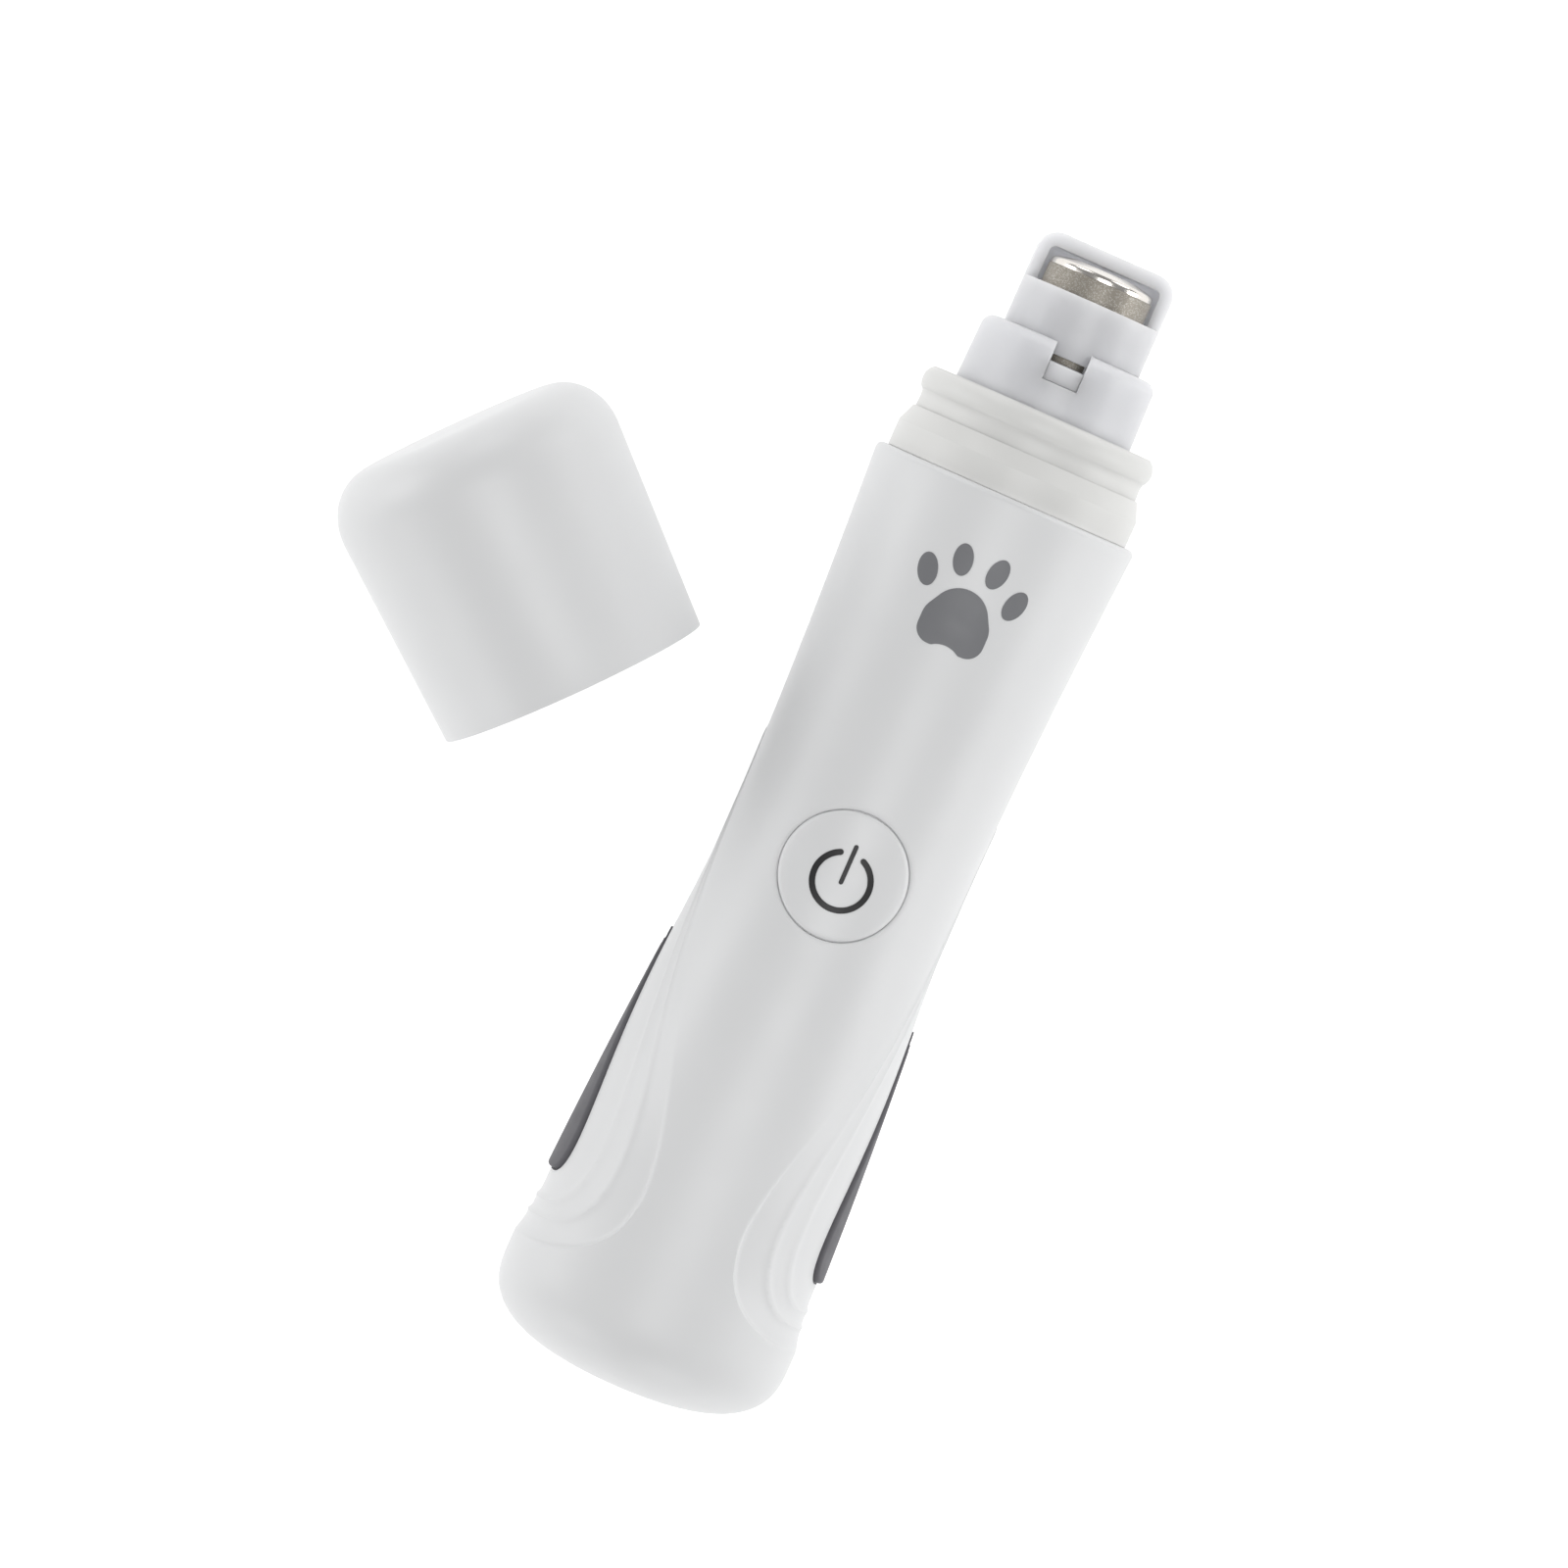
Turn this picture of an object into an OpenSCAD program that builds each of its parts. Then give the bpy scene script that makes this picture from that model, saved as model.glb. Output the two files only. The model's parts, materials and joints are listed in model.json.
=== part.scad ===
// Battery rotary nail grinder for pets, lying on its back with its cap beside it.
// Millimetres. The handle's axis runs along +Y from the base end to the tip, the button faces +Z,
// and the origin is the centre of the flat on the base end.

/* [Handle] */
// Distance from the base end to the rim that the cap meets
rim_y = 125.2; // [122:0.1:128]
// Radius of the round rim
rim_r = 18.1; // [18:0.1:18.6]
// Height of the widest place near the base
bulge_y = 10.5; // [9:0.1:12]
// Half width at the bulge
bulge_w = 19.9; // [19.2:0.1:20.6]
// Height of the narrowest place
waist_y = 78.8; // [76:0.1:80]
// Radius of the waist
waist_r = 16.1; // [16:0.1:16.6]
// Wall thickness of the two shells
wall = 2; // [1.8:0.1:2.1]
// Squareness of the rounded base end
dome_power = 2.7; // [2.4:0.1:3]

/* [Grip pockets] */
// Lowest point of the sunk area beside each grip
pocket_bottom = 13; // [12:0.1:13.5]
// Highest point of the sunk area
pocket_top = 89; // [86:1:92]
// Angle that the sunk area reaches round from the side, in degrees
pocket_angle = 69.5; // [60:0.5:72]
// Depth of the crisp step at the sunk area's edge
pocket_step = 0.6; // [0.4:0.05:0.7]
// Depth of each soft ripple inside it
ripple_step = 0.14; // [0.08:0.01:0.18]
// Lowest point of the rubber grip
grip_bottom = 22.1; // [21:0.1:24]
// Highest point of the rubber grip
grip_top = 57.7; // [55:0.1:60]
// Angle that the grip reaches round from the side, in degrees
grip_angle = 22.8; // [22:0.2:27]
// Height of the grip above the pocket's floor
grip_t = 0.7; // [0.6:0.05:0.8]

/* [Button] */
// Height of the button's centre
button_y = 72.6; // [71:0.1:73]
// Radius of the button
button_r = 8.4; // [8.2:0.1:8.8]
// Gap between the button and its hole
button_gap = 0.2; // [0.2:0.05:0.4]
// How far the button can be pressed
button_travel = 0.6; // [0.4:0.1:0.6]
// Radius of the ring in the power symbol
icon_r = 3.75; // [3.2:0.05:4]
// Line width of the power symbol
icon_line = 0.8; // [0.7:0.1:1.1]

/* [Paw print] */
// Height of the middle of the paw print
paw_y = 108.2; // [106:0.1:110]
// Thickness of the printed figures
print_depth = 0.15; // [0.1:0.01:0.2]

/* [Neck] */
// Radius of the band that the cap slides over
band_r = 16.7; // [16.6:0.05:16.75]
// Top of the band
band_top = 128.8; // [128.5:0.1:129]
// Top face of the neck
neck_top = 136.8; // [136.5:0.1:137.2]
// Radius of the snap bead
bead_r = 16.1; // [16:0.05:16.2]
// Radius at the bottom of the snap groove
groove_r = 15.4; // [15.3:0.05:15.5]

/* [Guard] */
// Radius of the guard's base
base_r = 12.2; // [12:0.1:12.4]
// Top of the guard's base
base_top = 145.9; // [145.5:0.1:146.3]
// Width of the keyway in the guard's base
keyway_w = 4.8; // [4.4:0.1:5]
// Radius of the guard
guard_r = 9.45; // [9.4:0.05:9.5]
// Bore of the guard
guard_bore_r = 7.7; // [7.6:0.05:7.8]
// Tip of the guard
guard_tip = 159.1; // [158.8:0.1:159.8]
// Height at which the guard's front is cut away
window_y = 152.3; // [151.5:0.1:152.6]

/* [Grinding drum] */
// Radius over the abrasive
drum_r = 7.15; // [7:0.05:7.2]
// Top edge of the abrasive
abrasive_top = 155.1; // [154.8:0.1:155.3]
// Height of the polished dome above the abrasive
dome_h = 1.6; // [1.4:0.1:1.7]

/* [Motor] */
// Radius of the motor can
motor_r = 10.2; // [10:0.1:10.4]
// Length of the motor can
motor_len = 24; // [23:0.5:25]
// Radius of the motor shaft
shaft_r = 1; // [1:0.1:1]

/* [Battery] */
// Radius of the cell
cell_r = 7.1; // [6.8:0.1:7.2]
// Length of the cell
cell_len = 49; // [46:1:50]

/* [Cap] */
// Length of the cap
cap_len = 36.3; // [36.2:0.1:37]
// Outer radius at the mouth
cap_mouth_r = 18.05; // [18:0.05:18.1]
// Outer radius at the widest place
cap_max_r = 19.4; // [19.2:0.1:19.6]
// Distance from the mouth to the widest place
cap_max_at = 28.6; // [28:0.1:29]
// Radius of the closed end's corner
cap_corner = 6.8; // [6:0.1:7]
// Place of the mouth's centre beside the handle, across
cap_x = -41.4; // [-46:0.1:-41]
// Place of the mouth's centre beside the handle, along
cap_y = 80.6; // [76:0.1:84]
// Angle between the cap's axis and the handle's, in degrees
cap_turn = 48.4; // [44:0.1:52]

/* [Hidden] */
$fn = 96;

// A small overlap that lets a cut run past a face
eps = 0.1;

// The handle's half depth at the bulge equals the rim's radius, so that it lies level on its back
bulge_d = rim_r;
// Shift that turns the dome's pole into a flat
end_lift = 0.16;
// How the handle widens from the waist to the rim
flare_power = 1.5;
// Rounding of the rim's outer edge
rim_round = 0.9;
// Thickness of the base end
end_wall = 2.2;

// Rings and points per half ring in the handle's skin
dome_rings = 8;
side_rings = 44;
rim_rings = 3;
ring_steps = 30;

// Outline exponents of the grip and of the pocket's edge: round foot, pointed head
grip_foot = 0.2;
grip_head = 1.22;
pocket_foot = 0.3;
pocket_head = 1.58;
// Where the ripples start, from the grip's edge (0) to the pocket's edge (1)
ripple_starts = [0.66, 0.42];
ripple_width = 0.16;
step_width = 0.35;
// Below 1, it brings the tops of the ripples closer to the top of the pocket
ripple_reach = 0.25;
// What is left of the grip's height at its upper end
grip_taper = 0.55;

// Heights between which the pocket fades away upwards, and what is left of it
fade_from = 18;
fade_to = 58;
fade_rest = 0.1;

// Neck and the shells' mouth
plug_y = 119;
plug_r = band_r - 0.2;
mouth_fit = 0.05;
neck_bore_r = 14.5;
web_bottom = 128;
web_top = 130.2;
seal_r = 5.4;

// Guard
guard_skirt = 133;
guard_corner = 2.8;
guard_end = 1.9;
base_bore_r = 9.6;
keyway_y = 140.8;
key_h = 2.4;
slit_y = 143.4;
slit_h = 0.9;

// Drum
drum_bottom = 138;
abrasive_bottom = 139.2;
abrasive_t = 0.7;
shaft_top = 152;

// Motor
motor_top = 124;
motor_bottom = motor_top - motor_len;
can_t = 0.8;
bell_len = 3;
bush_r = 3;
running_gap = 0.02;
magnet_r = 7.6;
armature_r = 7;
stack_bottom = 104;
stack_len = 15;
mount_t = 2;
screw_x = 6;

// Cavity rib that holds the isolator ring round the motor
rib_bottom = 102;
rib_top = 106;
rib_r = 12.6;

// Battery and boards
cell_y = 22;
cell_z = -1.2;
board_w = 15;
board_y = 42;
board_len = 52;
board_z = 6.6;
board_t = 1.2;
post_x = 5.5;
post_ys = [46, 90];
switch_w = 6;
switch_h = 3.5;
plunger_r = 1.7;
plunger_top = 12;
plunger_len = 1.5;
charge_board_z = -11.2;
charge_board_t = 1;
charge_board_y = 4.6;
charge_board_w = 12;
charge_board_len = 12;
socket_w = 8.9;
socket_h = 3.2;
socket_len = 7.3;
socket_mouth = 0.9;
socket_z = charge_board_z + charge_board_t + socket_h / 2;
wire_r = 0.55;
wire_sides = 8;

// Cap
cap_bore_r = 16.85;
cap_ridge_r = 15.75;
cap_ridge_y = 7.2;
cap_inner_r = 17.1;
cap_end = 1.8;
cap_tilt = atan((cap_max_r - cap_mouth_r) / cap_max_at);
cap_z = cap_mouth_r * cos(cap_tilt) - rim_r;

// ---------------------------------------------------------------- functions

function mix(a, b, t) = a + (b - a) * t;
function clamp01(t) = min(1, max(0, t));
// Falls away at once, then levels out softly
function ease_out(t) = 1 - pow(1 - clamp01(t), 2);

function dome(y) = pow(1 - pow(1 - (y + end_lift) / (bulge_y + end_lift), dome_power), 1 / dome_power);

// Half size of the handle's section at height y, for the given half size at the bulge
function half_size(y, bulge) =
    y < bulge_y ? bulge * dome(y)
    : y < waist_y ? waist_r + (bulge - waist_r) * (1 + cos(180 * (y - bulge_y) / (waist_y - bulge_y))) / 2
    : waist_r + (rim_r - waist_r) * pow((y - waist_y) / (rim_y - waist_y), flare_power);

function rim_cut(y) = rim_round * (1 - sqrt(1 - pow(clamp01((y - rim_y + rim_round) / rim_round), 2)));

// Outline of a drop, 0 at both ends and 1 at its widest, for a share v of its length
function drop(v, foot, head) =
    v <= 0 || v >= 1 ? 0
    : pow(v * (foot + head) / foot, foot) * pow((1 - v) * (foot + head) / head, head);

// Angle that nested drop number u reaches round from the side: 0 is the grip's edge, 1 the pocket's
function drop_angle(u, y) =
    let (low = mix(grip_bottom, pocket_bottom, u), high = mix(grip_top, pocket_top, pow(u, ripple_reach)))
    mix(grip_angle, pocket_angle, u)
    * drop((y - low) / (high - low), mix(grip_foot, pocket_foot, u), mix(grip_head, pocket_head, u));

// The nested drop that passes through a point, found by halving
function drop_at(angle, y, low = 0, high = 1, steps = 10) =
    steps == 0 ? (low + high) / 2
    : let (mid = (low + high) / 2)
      drop_angle(mid, y) < angle ? drop_at(angle, y, mid, high, steps - 1)
      : drop_at(angle, y, low, mid, steps - 1);

// Share of the pocket's depth at height y: all of it below, a trace of it above
function pocket_fade(y) =
    mix(fade_rest, 1, (1 + cos(180 * clamp01((y - fade_from) / (fade_to - fade_from)))) / 2);

function pocket_depth(angle, y) =
    drop_angle(1, y) <= angle ? 0
    : let (u = drop_at(angle, y))
      pocket_fade(y) * (pocket_step * ease_out((1 - u) / step_width)
                        + ripple_step * ease_out((ripple_starts[0] - u) / ripple_width)
                        + ripple_step * ease_out((ripple_starts[1] - u) / ripple_width));

// A point of the handle's skin, turned by angle t from the right side towards the front
function skin_point(y, t, out = 0) =
    let (grow = out - rim_cut(y))
    [(half_size(y, bulge_w) + grow) * cos(t), y, (half_size(y, bulge_d) + grow) * sin(t)];

function shell_point(y, t) = skin_point(y, t, -pocket_depth(asin(abs(sin(t))), y));

ring_heights = concat(
    [for (i = [0:dome_rings - 1]) bulge_y * (1 - cos(90 * i / dome_rings))],
    [for (i = [0:side_rings]) mix(bulge_y, rim_y - rim_round, i / side_rings)],
    [for (i = [1:rim_rings]) rim_y - rim_round * (1 - sin(90 * i / rim_rings))]
);

// Triangles that join rings of n points, with a flat face at each end
function ring_faces(rings, n) = concat(
    [[for (j = [0:n - 1]) j]],
    [for (i = [0:rings - 2], j = [0:n - 1]) [i * n + j, (i + 1) * n + j, (i + 1) * n + (j + 1) % n]],
    [for (i = [0:rings - 2], j = [0:n - 1]) [i * n + j, (i + 1) * n + (j + 1) % n, i * n + (j + 1) % n]],
    [[for (j = [n - 1:-1:0]) (rings - 1) * n + j]]
);

function unit(v) = v / norm(v);

// Corners as three points each, the ends as they are
function round_corners(route) = concat(
    [route[0]],
    [for (i = [1:1:len(route) - 2]) each [
        mix(route[i], route[i - 1], 0.2),
        mix(route[i], (route[i - 1] + route[i + 1]) / 2, 0.08),
        mix(route[i], route[i + 1], 0.2)
    ]],
    [route[len(route) - 1]]
);

// One ring of a wire's skin, square to its direction
function wire_ring(centre, direction) =
    let (side = unit(cross(direction, [1, 0, 0])), up = cross(side, unit(direction)))
    [for (j = [0:wire_sides - 1])
        centre + wire_r * (cos(360 * j / wire_sides) * side + sin(360 * j / wire_sides) * up)];

// ---------------------------------------------------------------- helpers

// Stands a shape that was drawn along Z along the handle's axis
module along_y(y = 0) translate([0, y, 0]) rotate([-90, 0, 0]) children();

// A turned piece: points are [radius, height along the handle]
module turned(points) along_y() rotate_extrude() polygon(points);

module disc(y, len, r) along_y(y) cylinder(h = len, r = r);

module ring(y, len, outer, inner) difference() {
    disc(y, len, outer);
    disc(y - eps, len + 2 * eps, inner);
}

module block(size, centre) translate(centre) cube(size, center = true);

// A round wire through a list of points, with its corners rounded off
module wire(route) {
    path = round_corners(route);
    last = len(path) - 1;
    polyhedron(
        points = [
            for (i = [0:last])
                each wire_ring(path[i], path[min(i + 1, last)] - path[max(i - 1, 0)])
        ],
        faces = ring_faces(last + 1, wire_sides)
    );
}

// The solid half of the handle above the joint between the shells
module half_handle() polyhedron(
    points = [for (y = ring_heights, j = [0:ring_steps]) shell_point(y, 180 * j / ring_steps)],
    faces = ring_faces(len(ring_heights), ring_steps + 1)
);

// The hollow inside both shells
module cavity() {
    heights = [for (i = [0:16]) mix(end_wall, plug_y, i / 16)];
    walls = [for (y = heights) if (y <= rib_bottom || y >= rib_top) [half_size(y, bulge_d) - wall, y]];
    low = [for (p = walls) if (p[1] <= rib_bottom) p];
    high = [for (p = walls) if (p[1] >= rib_top) p];
    rib = [
        [half_size(rib_bottom, bulge_d) - wall, rib_bottom],
        [rib_r, rib_bottom],
        [rib_r, rib_top],
        [half_size(rib_top, bulge_d) - wall, rib_top]
    ];
    mouth_r = plug_r + mouth_fit;
    turned(concat(
        [[0, end_wall]], low, rib, high,
        [[mouth_r, plug_y], [mouth_r, rim_y + eps], [0, rim_y + eps]]
    ));
}

// A turned skin that follows the handle's front between two heights
module front_skin(low, high, inner, outer) {
    steps = 8;
    heights = [for (i = [0:steps]) mix(low, high, i / steps)];
    turned(concat(
        [for (y = heights) [half_size(y, bulge_d) + outer, y]],
        [for (i = [steps:-1:0]) [half_size(heights[i], bulge_d) + inner, heights[i]]]
    ));
}

// ---------------------------------------------------------------- shells and grips

module board_posts() {
    post_top = 14.2;
    post_bottom = board_z + board_t;
    for (x = [-post_x, post_x], y = post_ys)
        translate([x, y, post_bottom]) cylinder(h = post_top - post_bottom, r = 2);
}

module front_shell() color("whitesmoke") difference() {
    half_handle();
    difference() {
        cavity();
        board_posts();
    }
    translate([0, button_y, 0]) cylinder(h = rim_r + 1, r = button_r + button_gap);
    for (x = [-post_x, post_x], y = post_ys)
        translate([x, y, 0]) cylinder(h = 12.5, r = 0.8);
}

// Two ribs that carry the cell, cut to its radius
module cell_cradle() {
    rib_t = 1.6;
    for (y = [cell_y + 8, cell_y + cell_len - 8]) difference() {
        r = half_size(y, bulge_d) - wall + 0.3;
        disc(y, rib_t, r);
        along_y(y - eps) translate([0, -cell_z, 0]) cylinder(h = rib_t + 2 * eps, r = cell_r + 0.1);
        block([3 * r, 4 * rib_t, 2 * r], [0, y, r + cell_z]);
    }
}

module rear_shell() color("whitesmoke") difference() {
    mirror([0, 0, 1]) half_handle();
    difference() {
        cavity();
        cell_cradle();
    }
    socket_outline(end_wall + 1, -eps, 0.25);
}

// One rubber pad, in the pocket on the right side
module grip() {
    rows = 28;
    columns = 10;
    floor = function(y) -pocket_fade(y) * (pocket_step + 2 * ripple_step);
    height = function(y) grip_t * mix(1, grip_taper, (y - grip_bottom) / (grip_top - grip_bottom));
    heights = [for (i = [0:rows]) mix(grip_bottom + 0.02, grip_top - 0.02, (1 - cos(180 * i / rows)) / 2)];
    crown = function(s) 1 - 0.4 * pow(abs(s), 4);
    outer = [for (j = [0:columns]) 2 * j / columns - 1];
    points = [for (y = heights) each concat(
        [for (s = outer) skin_point(y, s * drop_angle(0, y), floor(y) + height(y) * crown(s))],
        [for (j = [columns:-1:0]) skin_point(y, outer[j] * drop_angle(0, y), floor(y))]
    )];
    polyhedron(points = points, faces = ring_faces(rows + 1, 2 * (columns + 1)));
}

module right_grip() color("dimgray") grip();

module left_grip() color("dimgray") mirror([1, 0, 0]) grip();

// ---------------------------------------------------------------- printed figures

// An upright oval of half width a and half height b
module oval(a, b) scale([a, b]) circle(r = 1, $fn = 48);

module paw_outline() {
    difference() {
        hull() {
            translate([0, 0.4]) circle(r = 3.8, $fn = 48);
            for (side = [-1, 1]) {
                translate([side * 1.3, -0.7]) circle(r = 3.2, $fn = 48);
                translate([side * 2.4, -2]) circle(r = 2.1, $fn = 48);
            }
        }
        translate([0, -6.7]) circle(r = 3.2, $fn = 48);
    }
    for (side = [-1, 1]) {
        translate([side * 2.4, 7.45]) rotate(-side * 12) oval(1.3, 2.1);
        translate([side * 6.05, 4.6]) rotate(-side * 18) oval(1.3, 2.15);
    }
}

module paw_print() color("gray") intersection() {
    translate([0, paw_y, 0]) linear_extrude(rim_r + 1) paw_outline();
    front_skin(paw_y - 8, paw_y + 12, 0.08 - print_depth, 0.08);
}

// ---------------------------------------------------------------- button

module power_button() color("whitesmoke") {
    skirt_bottom = 10;
    skin_t = 1.6;
    difference() {
        intersection() {
            translate([0, button_y, skirt_bottom]) cylinder(h = rim_r, r = button_r);
            front_skin(button_y - 10, button_y + 10, -waist_r + 1, 0);
        }
        intersection() {
            translate([0, button_y, 0]) cylinder(h = rim_r, r = button_r - 1.2);
            front_skin(button_y - 10, button_y + 10, -waist_r + 1, -skin_t);
        }
    }
    // the stem that meets the switch, and two catches that keep the button in its hole
    translate([0, button_y, plunger_top]) cylinder(h = waist_r - plunger_top - skin_t + 0.4, r = 2);
    for (side = [-1, 1])
        block([5, 2, 1], [0, button_y + side * (button_r + 0.4), 12.9]);
}

module power_outline() {
    ring_drop = 0.7;
    end_x = 1.18 + icon_line / 2;
    bar_w = 0.75 * icon_line;
    bar_low = -0.45 + bar_w / 2;
    bar_high = 5.05 - bar_w / 2;
    translate([0, -ring_drop]) {
        difference() {
            circle(r = icon_r + icon_line / 2);
            circle(r = icon_r - icon_line / 2);
            translate([-end_x, 0]) square([2 * end_x, 2 * icon_r]);
        }
        for (x = [-end_x, end_x])
            translate([x, sqrt(pow(icon_r, 2) - pow(x, 2))]) circle(r = icon_line / 2, $fn = 48);
        translate([-bar_w / 2, bar_low]) square([bar_w, bar_high - bar_low]);
        for (y = [bar_low, bar_high]) translate([0, y]) circle(r = bar_w / 2, $fn = 48);
    }
}

module power_icon() color("black") intersection() {
    translate([0, button_y, 0]) linear_extrude(rim_r + 1) power_outline();
    front_skin(button_y - 8, button_y + 8, 0.06 - print_depth, 0.06);
}

// ---------------------------------------------------------------- boards

module switch_plunger() color("black")
    translate([0, button_y, plunger_top - plunger_len]) cylinder(h = plunger_len, r = plunger_r);

module tact_switch() color("silver") difference() {
    bottom = board_z + board_t;
    block([switch_w, switch_w, switch_h], [0, button_y, bottom + switch_h / 2]);
    translate([0, button_y, plunger_top - plunger_len - button_travel - 0.3])
        cylinder(h = 5, r = plunger_r + 0.15);
}

module circuit_board() color("seagreen") difference() {
    block([board_w, board_len, board_t], [0, board_y + board_len / 2, board_z + board_t / 2]);
    for (x = [-post_x, post_x], y = post_ys)
        translate([x, y, board_z - eps]) cylinder(h = board_t + 2 * eps, r = 1);
}

module board_components() color("dimgray") {
    top = board_z + board_t;
    block([5, 6, 1.5], [0, 56, top + 0.75]);
    block([3, 3, 1], [-5, 60, top + 0.5]);
    block([4, 5, 1.1], [0, 84, top + 0.55]);
    for (x = [3.5, 5, 6.5]) block([0.8, 1.6, 0.6], [x - 0.4, 57, top + 0.3]);
    for (y = [79, 81]) block([1.6, 0.8, 0.6], [-5.5, y, top + 0.3]);
}

module board_screws() color("silver") {
    head_h = 1.2;
    for (x = [-post_x, post_x], y = post_ys) {
        translate([x, y, board_z - head_h]) cylinder(h = head_h, r = 1.6);
        translate([x, y, board_z - eps]) cylinder(h = 5, r = 0.8);
    }
}

// ---------------------------------------------------------------- battery and wires

module battery_cell() color("royalblue")
    along_y(cell_y) translate([0, -cell_z, 0]) {
        cylinder(h = cell_len - 1, r = cell_r);
        cylinder(h = cell_len, r = 2.8);
    }

module battery_tabs() color("silver") {
    tab_t = 0.3;
    for (y = [cell_y - tab_t / 2, cell_y + cell_len + tab_t / 2])
        block([4, tab_t, 8], [0, y, cell_z + 2]);
}

module battery_wires() color("firebrick") {
    tab_top = cell_z + 5;
    board_edge = board_z + board_t / 2;
    wire([
        [1, cell_y - 0.9, tab_top], [1, cell_y - 0.9, board_edge],
        [3, board_y - 6, board_edge], [3, board_y, board_edge]
    ]);
    wire([
        [-1, cell_y + cell_len + 0.9, tab_top], [-1, cell_y + cell_len + 4, tab_top],
        [-1, board_y + board_len + 1, board_edge - 1.8], [-1, board_y + board_len + 1, board_edge]
    ]);
}

module motor_wires() color("black") {
    bell_y = motor_bottom - bell_len;
    board_end = board_y + board_len;
    for (side = [-1, 1])
        wire([
            [side * 5, board_end, board_z + board_t / 2],
            [side * 5, board_end + 1.4, board_z + board_t / 2],
            [side * 7, bell_y - 1.6, 3], [side * 7, bell_y - 1.6, 0], [side * 7, bell_y, 0]
        ]);
}

module charge_wires() color("firebrick")
    for (side = [-1, 1])
        wire([
            [side * 4, charge_board_y + charge_board_len, charge_board_z + 0.5],
            [side * 4, charge_board_y + charge_board_len + 1.5, charge_board_z + 0.5],
            [side * 9.5, cell_y - 1.5, -4], [side * 10.5, cell_y + 5, 2], [side * 10.5, cell_y + 14, 3],
            [side * 8.4, board_y + 4, board_z],
            [side * 7.9, board_y + 4, board_z + board_t / 2]
        ]);

// ---------------------------------------------------------------- charging inlet

// A slot with round ends, from height y towards the tip
module socket_outline(len, y, grow) along_y(y) translate([0, -socket_z, 0]) {
    r = socket_h / 2 + grow;
    reach = socket_w / 2 - socket_h / 2;
    for (side = [-1, 1]) translate([side * reach, 0, 0]) cylinder(h = len, r = r);
    translate([-reach, -r, 0]) cube([2 * reach, 2 * r, len]);
}

module charging_socket() color("silver") difference() {
    socket_outline(socket_len, socket_mouth, 0);
    socket_outline(socket_len - 0.6, socket_mouth - eps, -0.3);
}

module socket_tongue() color("black") {
    back = socket_mouth + socket_len - 0.6 - eps;
    tongue_len = 5.2;
    block([6.7, tongue_len, 0.7], [0, back - tongue_len / 2, socket_z]);
}

module charge_board() color("seagreen")
    block([charge_board_w, charge_board_len, charge_board_t],
        [0, charge_board_y + charge_board_len / 2, charge_board_z + charge_board_t / 2]);

// ---------------------------------------------------------------- neck and guard

module neck_collar() color("ivory") {
    ridge = 0.15;
    groove_y = 132.4;
    bead_y = 134.9;
    difference() {
        turned([
            [neck_bore_r, plug_y], [plug_r, plug_y], [plug_r, rim_y + mouth_fit],
            [band_r, rim_y + mouth_fit], [band_r, band_top - ridge],
            [band_r - ridge, band_top], [groove_r + 0.25, groove_y - 0.9],
            [groove_r, groove_y], [groove_r + 0.05, groove_y + 0.8],
            for (t = [-60:15:75]) [bead_r - 1 + cos(t), bead_y + 0.1 + 1.6 * sin(t) * (t < 0 ? 1 : 1.05)],
            [bead_r - 1.4, neck_top], [0, neck_top], [0, web_bottom], [neck_bore_r, web_bottom]
        ]);
        disc(web_bottom - eps, web_top - web_bottom + 2 * eps, seal_r);
        disc(web_top, neck_top, base_r + mouth_fit);
    }
}

module dust_seal() color("dimgray") ring(web_bottom, web_top - web_bottom, seal_r, shaft_r + 0.3);

module guard_base() color("white") {
    draft = 0.2;
    corner = 1.6;
    floor_t = 1.8;
    difference() {
        turned([
            [4, web_top], [base_r, web_top], [base_r, neck_top],
            for (t = [0:15:90])
                [base_r - draft - corner * (1 - cos(t)), base_top - corner * (1 - sin(t))],
            [base_bore_r, base_top], [base_bore_r, web_top + floor_t], [4, web_top + floor_t]
        ]);
        block([keyway_w, 2 * base_r, 2 * (base_top - keyway_y)], [0, keyway_y + base_r, base_r]);
    }
}

module guard_cap() color("white") {
    key_w = keyway_w - 0.6;
    key_out = base_r - 0.9;
    difference() {
        union() {
            turned([
                [guard_bore_r, guard_skirt], [guard_r, guard_skirt],
                for (t = [0:15:90])
                    [guard_r - guard_corner * (1 - cos(t)), guard_tip - guard_corner * (1 - sin(t))],
                [0, guard_tip], [0, guard_tip - guard_end], [guard_bore_r, guard_tip - guard_end]
            ]);
            block([key_w, key_h, key_out - guard_bore_r - 0.3],
                [0, keyway_y + 0.1 + key_h / 2, (key_out + guard_bore_r + 0.3) / 2]);
        }
        // the front is open above the window's edge
        block([3 * guard_r, 2 * (guard_tip - window_y), 2 * guard_r], [0, guard_tip, guard_r]);
        // the slit that lets the key give
        block([keyway_w - 0.4, slit_h, guard_r], [0, slit_y + slit_h / 2, guard_r]);
    }
}

// ---------------------------------------------------------------- drum

module drum_core() color("gainsboro") {
    inner_r = drum_r - abrasive_t;
    dome_r = drum_r - 0.1;
    corner = 1.3;
    turned([
        [shaft_r, drum_bottom], [inner_r, drum_bottom], [inner_r, abrasive_top], [dome_r, abrasive_top],
        for (t = [0:15:60])
            [dome_r - corner * (1 - cos(t)), abrasive_top + 0.25 + corner * sin(t) * 0.75],
        [dome_r - 2.4, abrasive_top + dome_h - 0.12], [dome_r - 4.2, abrasive_top + dome_h],
        [0, abrasive_top + dome_h],
        [0, shaft_top], [shaft_r, shaft_top]
    ]);
}

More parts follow.
